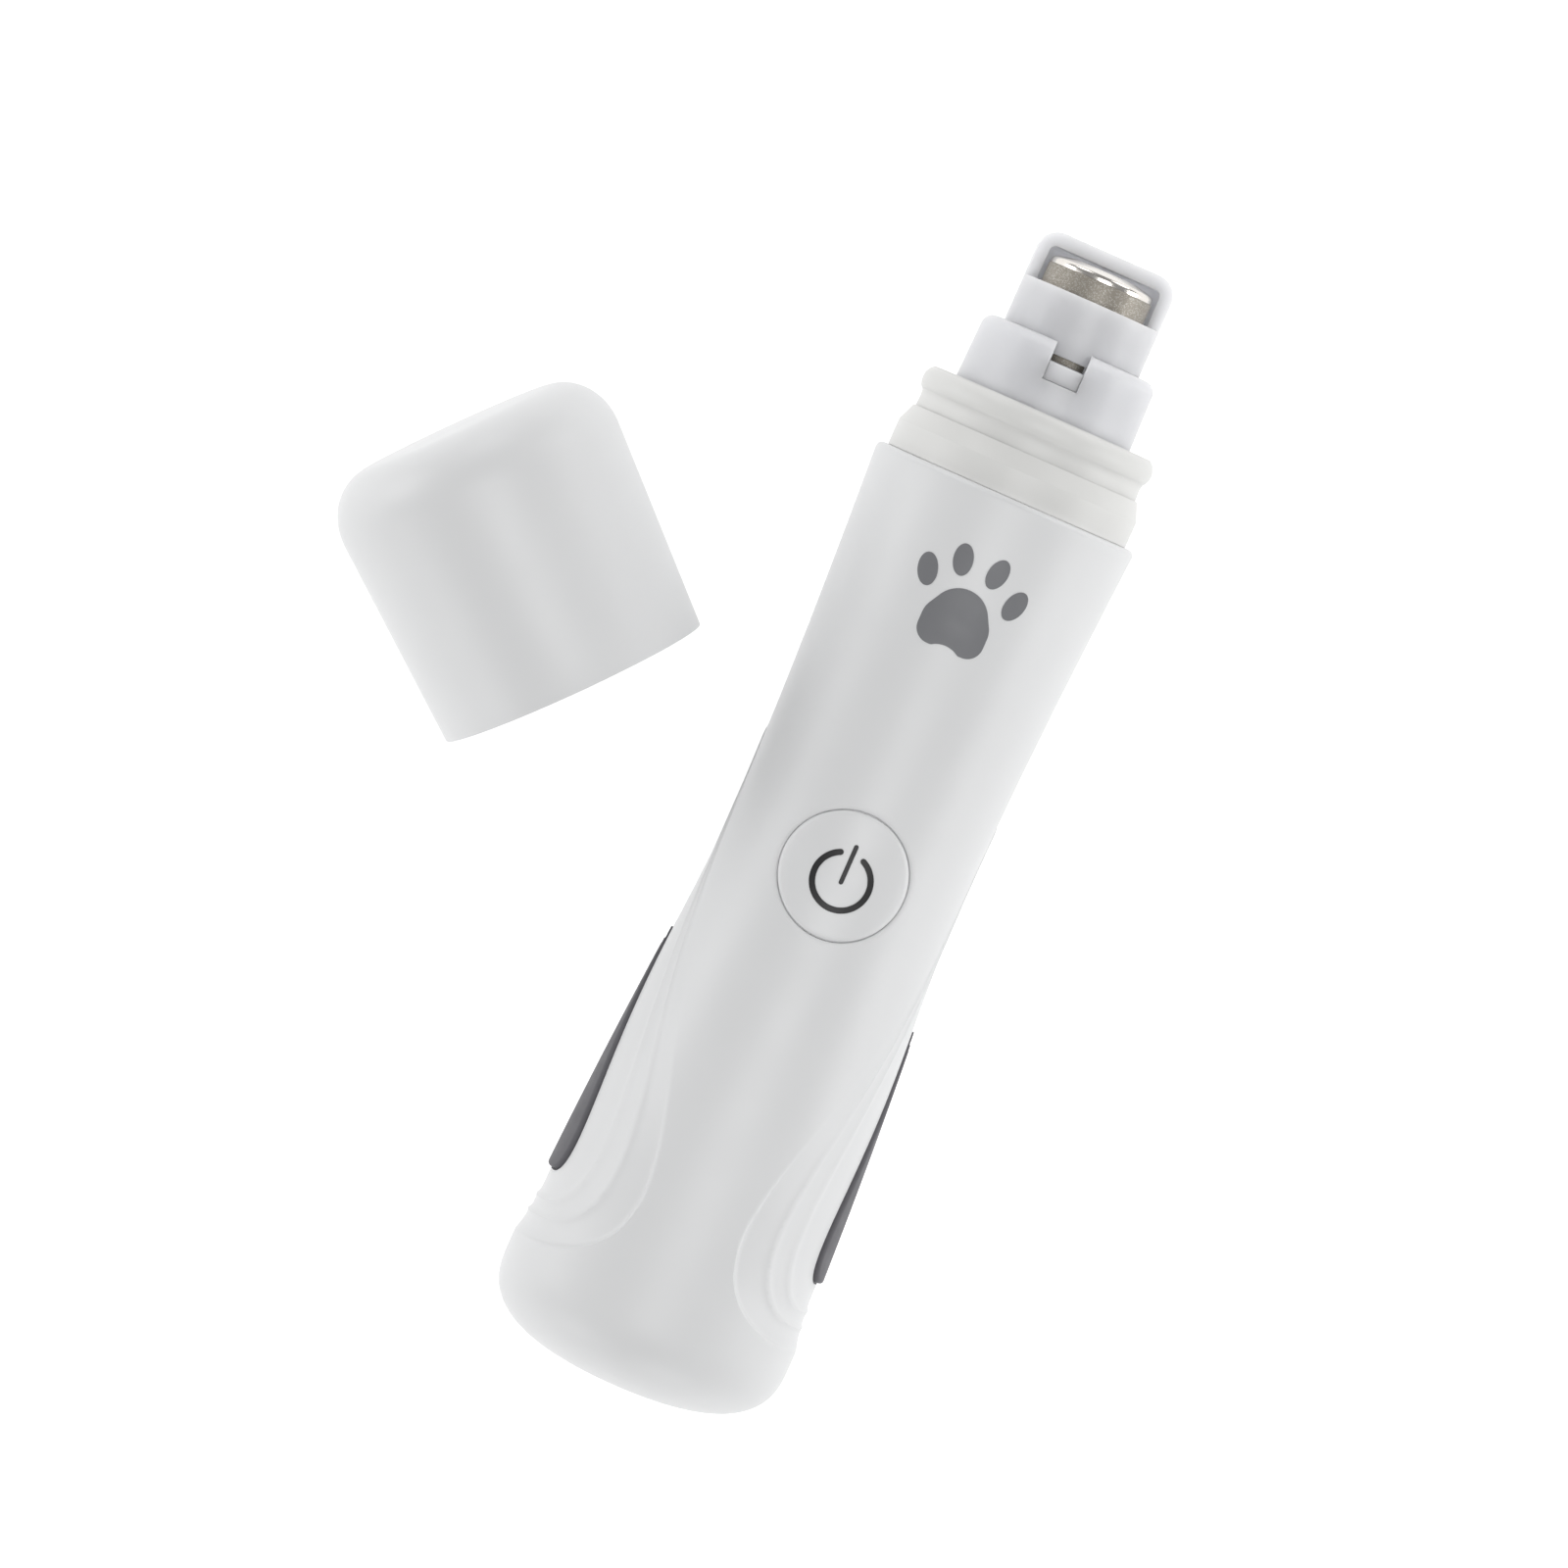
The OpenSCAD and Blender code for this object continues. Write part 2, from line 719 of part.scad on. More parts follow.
module abrasive_sleeve() color("tan")
    ring(abrasive_bottom, abrasive_top - abrasive_bottom, drum_r, drum_r - abrasive_t);

// ---------------------------------------------------------------- motor

module motor_mount() color("lightgray") difference() {
    union() {
        disc(motor_top, mount_t, neck_bore_r);
        ring(motor_top - 8, 8 + eps, motor_r + 2.2, motor_r + 0.05);
    }
    disc(motor_top - eps, mount_t + 2 * eps, bush_r + 0.1);
    for (side = [-1, 1]) translate([side * screw_x, 0, 0]) disc(motor_top - eps, mount_t + 2 * eps, 1.1);
}

module motor_screws() color("silver") for (side = [-1, 1]) translate([side * screw_x, 0, 0]) {
    disc(motor_top + mount_t, 1.2, 1.8);
    disc(motor_top - can_t, mount_t + can_t + eps, 1);
}

module motor_can() color("silver") difference() {
    disc(motor_bottom, motor_len, motor_r);
    disc(motor_bottom - eps, motor_len - can_t + eps, motor_r - can_t);
    disc(motor_top - 2 * can_t, 3 * can_t, bush_r);
    for (side = [-1, 1]) translate([side * screw_x, 0, 0]) disc(motor_top - 2 * can_t, 3 * can_t, 1);
}

module motor_end_bell() color("ivory") difference() {
    disc(motor_bottom - bell_len, bell_len, motor_r - 0.2);
    disc(motor_bottom - bell_len - eps, bell_len + 2 * eps, bush_r);
}

module front_bush() color("peru") ring(motor_top - 2.4, mount_t + 3.2, bush_r, shaft_r + running_gap);

module rear_bush() color("peru") ring(motor_bottom - bell_len, bell_len, bush_r, shaft_r + running_gap);

module motor_magnets() color("darkslategray") difference() {
    ring(stack_bottom, stack_len, motor_r - can_t - running_gap, magnet_r);
    block([5, 3 * stack_len, 3 * motor_r], [0, stack_bottom, 0]);
}

module motor_brushes() color("peru") for (side = [-1, 1])
    block([3, 2, 1.6], [side * 4.4, stack_bottom - 2.6, 0]);

module motor_shaft() color("gainsboro") {
    shaft_bottom = motor_bottom - bell_len - 1.2;
    disc(shaft_bottom, shaft_top - shaft_bottom, shaft_r);
}

// Three-pole stack
module motor_armature() color("sienna") difference() {
    disc(stack_bottom, stack_len, armature_r);
    disc(stack_bottom - eps, stack_len + 2 * eps, shaft_r);
    for (turn = [0:120:240]) rotate([0, turn, 0])
        block([1.6, 3 * stack_len, armature_r], [0, stack_bottom, armature_r]);
}

module commutator() color("peru") ring(stack_bottom - 3.8, 3, 2.6, shaft_r);

module isolator_ring() color("black") ring(rib_bottom, rib_top - rib_bottom, rib_r, motor_r);

// ---------------------------------------------------------------- cap

module cap_shell() color("whitesmoke")
    translate([cap_x, cap_y, cap_z]) rotate([cap_tilt, 0, cap_turn]) turned(concat(
        [[cap_bore_r, 0], [cap_mouth_r, 0]],
        [for (t = [0:10:90])
            [cap_max_r - cap_corner * (1 - cos(t)), cap_len - (cap_len - cap_max_at) * (1 - sin(t))]],
        [[0, cap_len], [0, cap_len - cap_end]],
        [for (t = [90:-15:0]) [cap_inner_r - 5 * (1 - cos(t)), cap_len - cap_end - 5 * (1 - sin(t))]],
        [[cap_inner_r, cap_ridge_y + 1.4], [cap_ridge_r, cap_ridge_y + 0.4],
         [cap_ridge_r, cap_ridge_y - 0.4], [cap_bore_r, cap_ridge_y - 1.4]]
    ));

// ---------------------------------------------------------------- the pieces

front_shell();
rear_shell();
left_grip();
right_grip();
paw_print();
power_button();
power_icon();
switch_plunger();
tact_switch();
circuit_board();
board_components();
board_screws();
battery_cell();
battery_tabs();
battery_wires();
motor_wires();
charge_wires();
charge_board();
charging_socket();
socket_tongue();
neck_collar();
guard_base();
guard_cap();
dust_seal();
motor_mount();
motor_screws();
motor_can();
motor_end_bell();
front_bush();
rear_bush();
motor_magnets();
motor_brushes();
isolator_ring();
motor_shaft();
motor_armature();
commutator();
drum_core();
abrasive_sleeve();
cap_shell();
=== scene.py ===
"""Looks of a battery nail grinder for pets, lying on its back with its cap beside it.

Shapes are worked out in millimetres and turned into metres when a mesh is made. The handle's axis
is +Y, its front faces +Z, and a place on its skin is given on a flat map: a is the way round from
the right-hand side, b is the way along, both in millimetres.
"""

import json
import math

import bmesh
import bpy
import numpy as np
from mathutils import Matrix, Vector
from mathutils.geometry import delaunay_2d_cdt
from mathutils.kdtree import KDTree


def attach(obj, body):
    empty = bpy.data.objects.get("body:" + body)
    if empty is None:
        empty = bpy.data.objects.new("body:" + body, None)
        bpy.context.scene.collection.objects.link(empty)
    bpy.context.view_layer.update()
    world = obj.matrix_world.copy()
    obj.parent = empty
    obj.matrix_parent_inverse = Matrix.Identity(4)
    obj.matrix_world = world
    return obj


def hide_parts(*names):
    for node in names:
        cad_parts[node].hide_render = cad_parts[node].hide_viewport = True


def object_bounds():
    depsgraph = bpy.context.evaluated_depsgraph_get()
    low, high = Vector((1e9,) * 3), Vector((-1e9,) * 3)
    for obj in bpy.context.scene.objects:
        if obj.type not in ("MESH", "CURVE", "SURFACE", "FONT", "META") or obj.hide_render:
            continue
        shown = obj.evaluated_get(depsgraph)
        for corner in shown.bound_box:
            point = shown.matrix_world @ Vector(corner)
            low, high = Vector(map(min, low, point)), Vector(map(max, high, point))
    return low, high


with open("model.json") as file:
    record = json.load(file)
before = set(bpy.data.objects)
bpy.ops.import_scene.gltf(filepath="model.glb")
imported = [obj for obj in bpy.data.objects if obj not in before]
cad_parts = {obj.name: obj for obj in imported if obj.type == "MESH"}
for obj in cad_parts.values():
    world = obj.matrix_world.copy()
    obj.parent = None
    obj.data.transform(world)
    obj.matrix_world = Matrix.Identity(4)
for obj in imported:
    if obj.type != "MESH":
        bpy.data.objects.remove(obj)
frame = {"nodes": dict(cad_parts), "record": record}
cad_low, cad_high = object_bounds()

MM = 0.001

# ---------------------------------------------------------------- sizes, as in the CAD part (mm)

RIM_Y, RIM_R, RIM_ROUND = 125.2, 18.1, 0.9
BULGE_Y, BULGE_W, BULGE_D = 10.5, 19.9, 18.1
WAIST_Y, WAIST_R = 78.8, 16.1
DOME_POWER, END_LIFT, FLARE_POWER = 2.7, 0.16, 1.5
WALL, END_WALL, PLUG_Y, MOUTH_R = 2.0, 2.2, 119.0, 16.55

POCKET_LOW, POCKET_HIGH, POCKET_ANGLE, POCKET_FOOT, POCKET_HEAD = 13.0, 89.0, 69.5, 0.3, 1.58
GRIP_LOW, GRIP_HIGH, GRIP_ANGLE, GRIP_FOOT, GRIP_HEAD = 22.1, 57.7, 22.8, 0.2, 1.22
POCKET_STEP, RIPPLE_STEP, RIPPLE_STARTS, RIPPLE_WIDTH, RIPPLE_REACH = 0.6, 0.14, (0.66, 0.42), 0.16, 0.25
FADE_FROM, FADE_TO, FADE_REST = 18.0, 58.0, 0.1
GRIP_T, GRIP_TAPER = 0.7, 0.55

BUTTON_Y, BUTTON_R, HOLE_R = 72.6, 8.4, 8.6
PAW_Y = 108.2
ICON_R, ICON_LINE, ICON_DROP, ICON_END_X = 3.75, 0.8, 0.7, 1.58
SLOT_W, SLOT_H, SLOT_Z = 9.4, 3.7, -8.6

NECK_BORE_R, PLUG_R, BAND_R, BAND_TOP, NECK_TOP = 14.5, 16.5, 16.7, 128.8, 136.8
NECK_GROOVE_R, NECK_GROOVE_Y, BEAD_R, BEAD_Y = 15.4, 132.4, 16.1, 135.0
WEB_BOTTOM, WEB_TOP, SEAL_R, MOUTH_FIT = 128, 130.2, 5.4, 0.05

BASE_R, BASE_BORE_R, BASE_TOP, KEYWAY_W, KEYWAY_Y = 12.2, 9.6, 145.9, 4.8, 140.8
GUARD_R, GUARD_BORE_R, GUARD_FOOT, GUARD_TIP, GUARD_TOP_WALL = 9.45, 7.7, 133, 159.1, 1.9
WINDOW_Y, SLIT_LOW, SLIT_HIGH = 152.3, 143.4, 144.3

SHAFT_R, CORE_R, DRUM_R = 1, 6.45, 7.15
CORE_FOOT, ABRASIVE_FOOT, ABRASIVE_TOP, DRUM_TOP = 138, 139.2, 155.1, 156.7

CAP_MOUTH_R, CAP_MAX_R, CAP_MAX_AT, CAP_LEN, CAP_CORNER = 18.05, 19.4, 28.6, 36.3, 6.8
CAP_BORE_R, CAP_BORE_END, CAP_BORE_CORNER = 17.1, 34.5, 5
CAP_BAND_R, CAP_BAND_LEN, SNAP_R = 16.85, 5.8, 15.75
CAP_PLACE, CAP_TURN = (-41.4, 80.6), 48.4

# ---------------------------------------------------------------- the flat map of the handle's skin

DEGREE = math.pi * 18 / 180
HALF_TURN = 180 * DEGREE
DOME_LEN, FLAT_LEN, RIM_LEN = 15.0, 6.0, 1.4
SIDE_LEN = RIM_Y - RIM_ROUND - BULGE_Y


def mix(a, b, t):
    return a + (b - a) * t


def share(value, low, high):
    return np.clip((value - low) / (high - low), 0, 1)


def smooth(t):
    t = np.clip(t, 0, 1)
    return t * t * (3 - 2 * t)


def ease_out(t):
    return 1 - (1 - np.clip(t, 0, 1)) ** 2


def edge_break(distance, radius):
    """How far a surface falls away at this distance from a rounded edge."""
    return radius * (1 - np.sqrt(1 - (1 - np.clip(distance / radius, 0, 1)) ** 2))


def dome(y):
    return (1 - (1 - (y + END_LIFT) / (BULGE_Y + END_LIFT)) ** DOME_POWER) ** (1 / DOME_POWER)


def half_size(y, bulge):
    """Half size of the handle's section at height y, for the given half size at the bulge."""
    low = bulge * dome(np.clip(y, 0, BULGE_Y))
    turn = math.pi * (y - BULGE_Y) / (WAIST_Y - BULGE_Y)
    middle = WAIST_R + (bulge - WAIST_R) * (1 + np.cos(turn)) / 2
    high = WAIST_R + (RIM_R - WAIST_R) * share(y, WAIST_Y, RIM_Y) ** FLARE_POWER
    return np.where(y < BULGE_Y, low, np.where(y < WAIST_Y, middle, high))


def height_at(b):
    """Height on the handle of a place on the map: flat end, dome, side and rounded rim in turn."""
    low = BULGE_Y * (1 - np.cos(share(b, -DOME_LEN, 0) * math.pi / 2))
    rim = RIM_Y - RIM_ROUND * (1 - np.sin(share(b, SIDE_LEN, SIDE_LEN + RIM_LEN) * math.pi / 2))
    return np.where(b < 0, low, np.where(b < SIDE_LEN, BULGE_Y + b, rim))


def skin(a, b, out, side=1):
    """Points of the handle's skin, moved outwards; side -1 is the rear half."""
    y = height_at(b)
    turn = a / DEGREE * math.pi / 180
    flat = share(b, -DOME_LEN - FLAT_LEN, -DOME_LEN)
    cut = edge_break(RIM_Y - y, RIM_ROUND)
    wide = (half_size(y, BULGE_W) - cut) * flat
    deep = (half_size(y, BULGE_D) - cut) * flat
    # the way out: round the dome it turns from sideways to straight back
    falling = np.where(y < BULGE_Y, 1 - (y + END_LIFT) / (BULGE_Y + END_LIFT), 0.0)
    back = np.where(b < -DOME_LEN, 1.0, falling ** (DOME_POWER - 1) / BULGE_Y)
    around = np.where(b < -DOME_LEN, 0.0, dome(np.clip(y, 0, BULGE_Y)) ** (DOME_POWER - 1) / BULGE_D)
    length = np.hypot(back, around)
    points = np.stack([wide * np.cos(turn), y, side * deep * np.sin(turn)], -1)
    way = np.stack([around * np.cos(turn), -back, side * around * np.sin(turn)], -1)
    return points + way * (out / length)[..., None]


def front_z(x, y):
    """Height of the handle's front above its middle."""
    return half_size(y, BULGE_D) * np.sqrt(1 - (x / half_size(y, BULGE_W)) ** 2)


# ---------------------------------------------------------------- grips and pockets

def drop(v, foot, head):
    """Outline of a drop: 0 at both ends, 1 at its widest."""
    v = np.clip(v, 0, 1)
    return (v * (foot + head) / foot) ** foot * ((1 - v) * (foot + head) / head) ** head


def drop_ends(u):
    """Lowest and highest point of nested drop u."""
    return mix(GRIP_LOW, POCKET_LOW, u), mix(GRIP_HIGH, POCKET_HIGH, u ** RIPPLE_REACH)


def drop_angle(u, y):
    """Angle that nested drop u reaches round from the side: 0 is the grip's edge, 1 the pocket's."""
    low, high = drop_ends(u)
    v = (y - low) / (high - low)
    foot, head = mix(GRIP_FOOT, POCKET_FOOT, u), mix(GRIP_HEAD, POCKET_HEAD, u)
    return mix(GRIP_ANGLE, POCKET_ANGLE, u) * drop(v, foot, head)


def drop_number(angle, y):
    """The nested drop through each place, found by halving."""
    low, high = np.zeros_like(y), np.ones_like(y)
    for _ in range(14):
        middle = (low + high) / 2
        inside = drop_angle(middle, y) < angle
        low, high = np.where(inside, middle, low), np.where(inside, high, middle)
    return (low + high) / 2


def even(points, step, closed=False):
    """The same line with its points evenly spaced."""
    points = np.asarray(points, float)
    if closed:
        points = np.vstack([points, points[:1]])
    along = np.concatenate([[0], np.cumsum(np.hypot(*np.diff(points, axis=0).T))])
    count = max(3, round(along[-1] / step)) + 1
    places = np.linspace(0, along[-1], count)[:-1 if closed else None]
    return np.stack([np.interp(places, along, points[:, k]) for k in (0, 1)], 1)


def drop_line(u, step):
    """Half of nested drop u on the map, from its foot to its head."""
    low, high = drop_ends(u)
    y = low + (high - low) * np.linspace(0, 1, 4000) ** 4
    return even(np.stack([drop_angle(u, y) * DEGREE, y - BULGE_Y], 1), step)


def offset(line, distance):
    """The line moved to its left."""
    run = np.gradient(line, axis=0)
    run /= np.hypot(run[:, 0], run[:, 1])[:, None]
    return line + distance * np.stack([-run[:, 1], run[:, 0]], 1)


def inset(outline, distance, step):
    """A closed line moved inwards, without the loops that a sharp corner would make."""
    moved = offset(outline, distance)
    clear = nearest(even(outline, 0.05, True), moved) > 0.97 * distance
    return even(moved[clear], step, True)


def nearest(line, points):
    """Distance from each point to the nearest point of a line."""
    tree = KDTree(len(line))
    for k, p in enumerate(line):
        tree.insert((p[0], p[1], 0), k)
    tree.balance()
    return np.array([tree.find((p[0], p[1], 0))[2] for p in points])


POCKET_EDGE, GRIP_EDGE = drop_line(1, 0.02), drop_line(0, 0.005)
# the lip is crisp below the first height and beyond the second angle
LIP_SHARE, LIP_W, SLOPE_W = 0.6, 0.4, 3.6
LIP_HEIGHTS, LIP_ANGLES = (28, 42), (14, 44)
SEAT_DEPTH, SEAT_W, GROOVE_W = 0.45, 0.06, 0.2
RIDGE, RIDGE_W = 0.17, 0.035


def pocket_fade(y):
    """Share of the pocket's depth at height y: all of it below, a trace of it above."""
    return mix(FADE_REST, 1, (1 + np.cos(math.pi * share(y, FADE_FROM, FADE_TO))) / 2)


def pocket_depth(angle, y):
    """Depth of the pocket: a lip that is crisp at the foot of the handle's front, a soft slope, two
    ripples that start with a fine ridge, and the seat of the grip."""
    depth = np.zeros_like(y)
    inside = (drop_angle(1, y) > angle) & (y > POCKET_LOW) & (y < POCKET_HIGH)
    angle, y = angle[inside], y[inside]
    places = np.stack([angle * DEGREE, y - BULGE_Y], 1)
    away = nearest(POCKET_EDGE, places)
    u = drop_number(angle, y)
    lip = LIP_SHARE * (1 - smooth(share(y, *LIP_HEIGHTS))) * smooth(share(angle, *LIP_ANGLES))
    step = lip * smooth(away / LIP_W) + (1 - lip) * ease_out(away / SLOPE_W)
    ripples = sum(ease_out((start - u) / RIPPLE_WIDTH) for start in RIPPLE_STARTS)
    ridges = sum(np.exp(-((start - u) / RIDGE_W) ** 2) for start in RIPPLE_STARTS)
    in_seat = (drop_angle(0, y) > angle) & (y > GRIP_LOW) & (y < GRIP_HIGH)
    seat = np.where(in_seat, smooth(nearest(GRIP_EDGE, places) / SEAT_W), 0)
    floor = pocket_fade(y) * (POCKET_STEP * step + RIPPLE_STEP * ripples)
    depth[inside] = floor - RIDGE * ridges + SEAT_DEPTH * seat
    return depth


# ---------------------------------------------------------------- mesh helpers

def triangles(outline, lines, dots, gap):
    """Points and triangles over the area inside a closed outline. Each line, given with whether it is
    closed, is kept as edges, and dots fill the rest."""
    lines = [(outline, True), *lines]
    fixed = np.vstack([line for line, _ in lines])
    dots = dots[nearest(fixed, dots) > gap]
    edges, first = [], 0
    for line, closed in lines:
        count = len(line)
        edges += [(first + k, first + (k + 1) % count) for k in range(count if closed else count - 1)]
        first += count
    points = [Vector(p) for p in np.vstack([fixed, dots])]
    found = delaunay_2d_cdt(points, edges, [], 1, 1e-4)
    return np.array([tuple(p) for p in found[0]]), [tuple(face) for face in found[2]]


def grid(low, high, step):
    """Evenly spread points over a rectangle, every other row shifted by half a step."""
    columns = np.arange(low[0], high[0], step)
    rows = np.arange(low[1], high[1], step * 0.87)
    x, y = np.meshgrid(columns, rows)
    x = x + (np.arange(len(rows)) % 2)[:, None] * step / 2
    return np.stack([x.ravel(), y.ravel()], 1)


def thick(outer, inner, faces):
    """A closed skin: an outer sheet, an inner sheet turned over, and walls round every open edge."""
    count = len(outer)
    sides = [(face[k], face[(k + 1) % len(face)]) for face in faces for k in range(len(face))]
    known = set(sides)
    walls = [(b, a, a + count, b + count) for a, b in sides if (b, a) not in known]
    back = [tuple(k + count for k in reversed(face)) for face in faces]
    return np.vstack([outer, inner]), [*faces, *back, *walls]


def make(name, solid, body, nodes, slot, sharp=40):
    """A piece from points in millimetres and faces, which stands for CAD nodes and rides on a body."""
    points, faces = solid
    mesh = bpy.data.meshes.new(name)
    mesh.from_pydata((np.asarray(points) * MM).tolist(), [], faces)
    work = bmesh.new()
    work.from_mesh(mesh)
    bmesh.ops.remove_doubles(work, verts=work.verts, dist=1e-6)
    bmesh.ops.dissolve_degenerate(work, edges=work.edges, dist=1e-6)
    bmesh.ops.recalc_face_normals(work, faces=work.faces)
    work.to_mesh(mesh)
    work.free()
    mesh.shade_smooth()
    mesh.set_sharp_from_angle(angle=math.radians(sharp))
    piece = bpy.data.objects.new(name, mesh)
    bpy.context.scene.collection.objects.link(piece)
    mesh.materials.append(FINISHES[slot])
    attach(piece, body)
    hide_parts(*nodes)
    return piece


def unit(v):
    return v / np.hypot(*v)


def round_off(corners, steps=6):
    """A closed outline from corners given as (x, y, radius), each rounded to its radius."""
    result = []
    for k, (x, y, radius) in enumerate(corners):
        here = np.array((x, y), float)
        if radius == 0:
            result.append(here)
            continue
        to_last = unit(np.array(corners[k - 1][:2]) - here)
        to_next = unit(np.array(corners[(k + 1) % len(corners)][:2]) - here)
        half = math.acos(np.clip(to_last @ to_next, -1, 1)) / 2
        centre = here + unit(to_last + to_next) * radius / math.sin(half)
        start = here + to_last * radius / math.tan(half) - centre
        end = here + to_next * radius / math.tan(half) - centre
        turn = math.pi - 2 * half
        for w in np.linspace(0, 1, steps + 1):
            arm = math.sin((1 - w) * turn) * start + math.sin(w * turn) * end
            result.append(centre + arm / math.sin(turn))
    return np.array(result)


def turned(outline, segments=160):
    """A solid turned round the handle's axis from a closed outline of (radius, height) points."""
    turns = (np.arange(segments) + 0.5) * 2 * math.pi / segments
    points = [(r * math.cos(t), y, r * math.sin(t)) for t in turns for r, y in outline]
    count = len(outline)
    faces = []
    for j in range(segments):
        here, there = j * count, (j + 1) % segments * count
        for i in range(count):
            k = (i + 1) % count
            if outline[i][0] > 0 or outline[k][0] > 0:
                faces.append((here + i, here + k, there + k, there + i))
    return np.array(points), faces


def block(low, high):
    """A box between two corners."""
    corners = [[(low, high)[k][0], (low, high)[j][1], (low, high)[i][2]]
               for i in (0, 1) for j in (0, 1) for k in (0, 1)]
    faces = [(0, 2, 3, 1), (4, 5, 7, 6), (0, 1, 5, 4), (2, 6, 7, 3), (0, 4, 6, 2), (1, 3, 7, 5)]
    return np.array(corners, float), faces


def loose(solid):
    """A bare object that only serves to cut or join another."""
    mesh = bpy.data.meshes.new("tool")
    mesh.from_pydata((solid[0] * MM).tolist(), [], solid[1])
    work = bmesh.new()
    work.from_mesh(mesh)
    bmesh.ops.remove_doubles(work, verts=work.verts, dist=1e-6)
    bmesh.ops.recalc_face_normals(work, faces=work.faces)
    work.to_mesh(mesh)
    work.free()
    thing = bpy.data.objects.new("tool", mesh)
    bpy.context.scene.collection.objects.link(thing)
    return thing


def carved(solid, steps, bevel):
    """A solid after boolean steps, each (operation, solid), with its sharp edges rounded."""
    body = loose(solid)
    tools = [loose(tool) for _, tool in steps]
    for (operation, _), tool in zip(steps, tools):
        change = body.modifiers.new(operation, "BOOLEAN")
        change.operation = operation
        change.object = tool
        change.solver = "EXACT"
    seen = body.evaluated_get(bpy.context.evaluated_depsgraph_get())
    work = bmesh.new()
    work.from_mesh(seen.to_mesh())
    for thing in (body, *tools):
        bpy.data.objects.remove(thing)
    bmesh.ops.dissolve_degenerate(work, edges=work.edges, dist=2e-6)
    hard = [edge for edge in work.edges if len(edge.link_faces) == 2 and edge.calc_face_angle() > 0.7]
    bmesh.ops.bevel(work, geom=hard, offset=bevel * MM, segments=2, profile=0.5, affect="EDGES",
                    clamp_overlap=True)
    work.verts.index_update()
    points = np.array([vertex.co[:] for vertex in work.verts]) / MM
    faces = [tuple(vertex.index for vertex in face.verts) for face in work.faces]
    work.free()
    return points, faces


def even_shading(piece):
    """Lets large flat faces keep their own direction beside small rounded edges."""
    weighted = piece.modifiers.new("even shading", "WEIGHTED_NORMAL")
    weighted.keep_sharp = True


# ---------------------------------------------------------------- finishes

def finish(name, colour, roughness, *, metallic=0.0, vary=0.03, grain=0.25, bump=0.02, patch=9.0,
           stretch=(1, 1, 1), specks=None, gloss_spread=0.06, specular=0.5, milky=0.0):
    """A moulded or metal finish: slow colour drift, patchy gloss and a fine skin texture.

    grain and patch are sizes in millimetres, bump the height of the grain in millimetres, and
    specks an optional (colour, size, share) for grains of another colour."""
    material = bpy.data.materials.new(name)
    material.use_nodes = True
    nodes, links = material.node_tree.nodes, material.node_tree.links
    shader = nodes["Principled BSDF"]
    shader.inputs["Metallic"].default_value = metallic
    shader.inputs["Specular IOR Level"].default_value = specular
    shader.inputs["Subsurface Weight"].default_value = milky
    shader.inputs["Subsurface Radius"].default_value = (1, 1, 1)
    shader.inputs["Subsurface Scale"].default_value = 5 * MM
    place = nodes.new("ShaderNodeTexCoord")
    stretched = nodes.new("ShaderNodeMapping")
    stretched.inputs["Scale"].default_value = stretch
    links.new(place.outputs["Object"], stretched.inputs["Vector"])

    def noise(size, detail, source):
        texture = nodes.new("ShaderNodeTexNoise")
        texture.inputs["Scale"].default_value = 1 / (size * MM)
        texture.inputs["Detail"].default_value = detail
        links.new(source, texture.inputs["Vector"])
        return texture.outputs["Fac"]

    def ramp(source, low, high, start=0.3, end=0.7):
        scale = nodes.new("ShaderNodeMapRange")
        scale.inputs["From Min"].default_value = start
        scale.inputs["From Max"].default_value = end
        scale.inputs["To Min"].default_value = low
        scale.inputs["To Max"].default_value = high
        links.new(source, scale.inputs["Value"])
        return scale.outputs["Result"]

    drift = noise(patch, 3, place.outputs["Object"])
    paint = nodes.new("ShaderNodeMix")
    paint.data_type = "RGBA"
    paint.inputs["A"].default_value = [*(c * (1 - vary) for c in colour), 1]
    paint.inputs["B"].default_value = [*(min(1, c * (1 + vary)) for c in colour), 1]
    links.new(ramp(drift, 0, 1), paint.inputs["Factor"])
    shown = paint.outputs["Result"]
    if specks:
        other, size, amount = specks
        cells = nodes.new("ShaderNodeTexVoronoi")
        cells.inputs["Scale"].default_value = 1 / (size * MM)
        links.new(place.outputs["Object"], cells.inputs["Vector"])
        pick = nodes.new("ShaderNodeSeparateColor")
        links.new(cells.outputs["Color"], pick.inputs["Color"])
        speckled = nodes.new("ShaderNodeMix")
        speckled.data_type = "RGBA"
        links.new(ramp(pick.outputs["Red"], 0, 1, 1 - amount, 1 - amount / 2), speckled.inputs["Factor"])
        links.new(shown, speckled.inputs["A"])
        speckled.inputs["B"].default_value = [*other, 1]
        shown = speckled.outputs["Result"]
    links.new(shown, shader.inputs["Base Color"])
    smears = noise(patch / 3, 4, stretched.outputs["Vector"])
    gloss = ramp(smears, roughness - gloss_spread, roughness + gloss_spread)
    links.new(gloss, shader.inputs["Roughness"])
    relief = nodes.new("ShaderNodeBump")
    relief.inputs["Strength"].default_value = 1
    relief.inputs["Distance"].default_value = bump * MM
    links.new(noise(grain, 2, stretched.outputs["Vector"]), relief.inputs["Height"])
    links.new(relief.outputs["Normal"], shader.inputs["Normal"])
    return material


SATIN_WHITE = (0.72, 0.725, 0.73)
# texture drawn out along the handle, round it, and further round it
LENGTHWISE, AROUND, FAR_AROUND = (1, 0.08, 1), (0.15, 1, 0.15), (0.1, 1, 0.1)

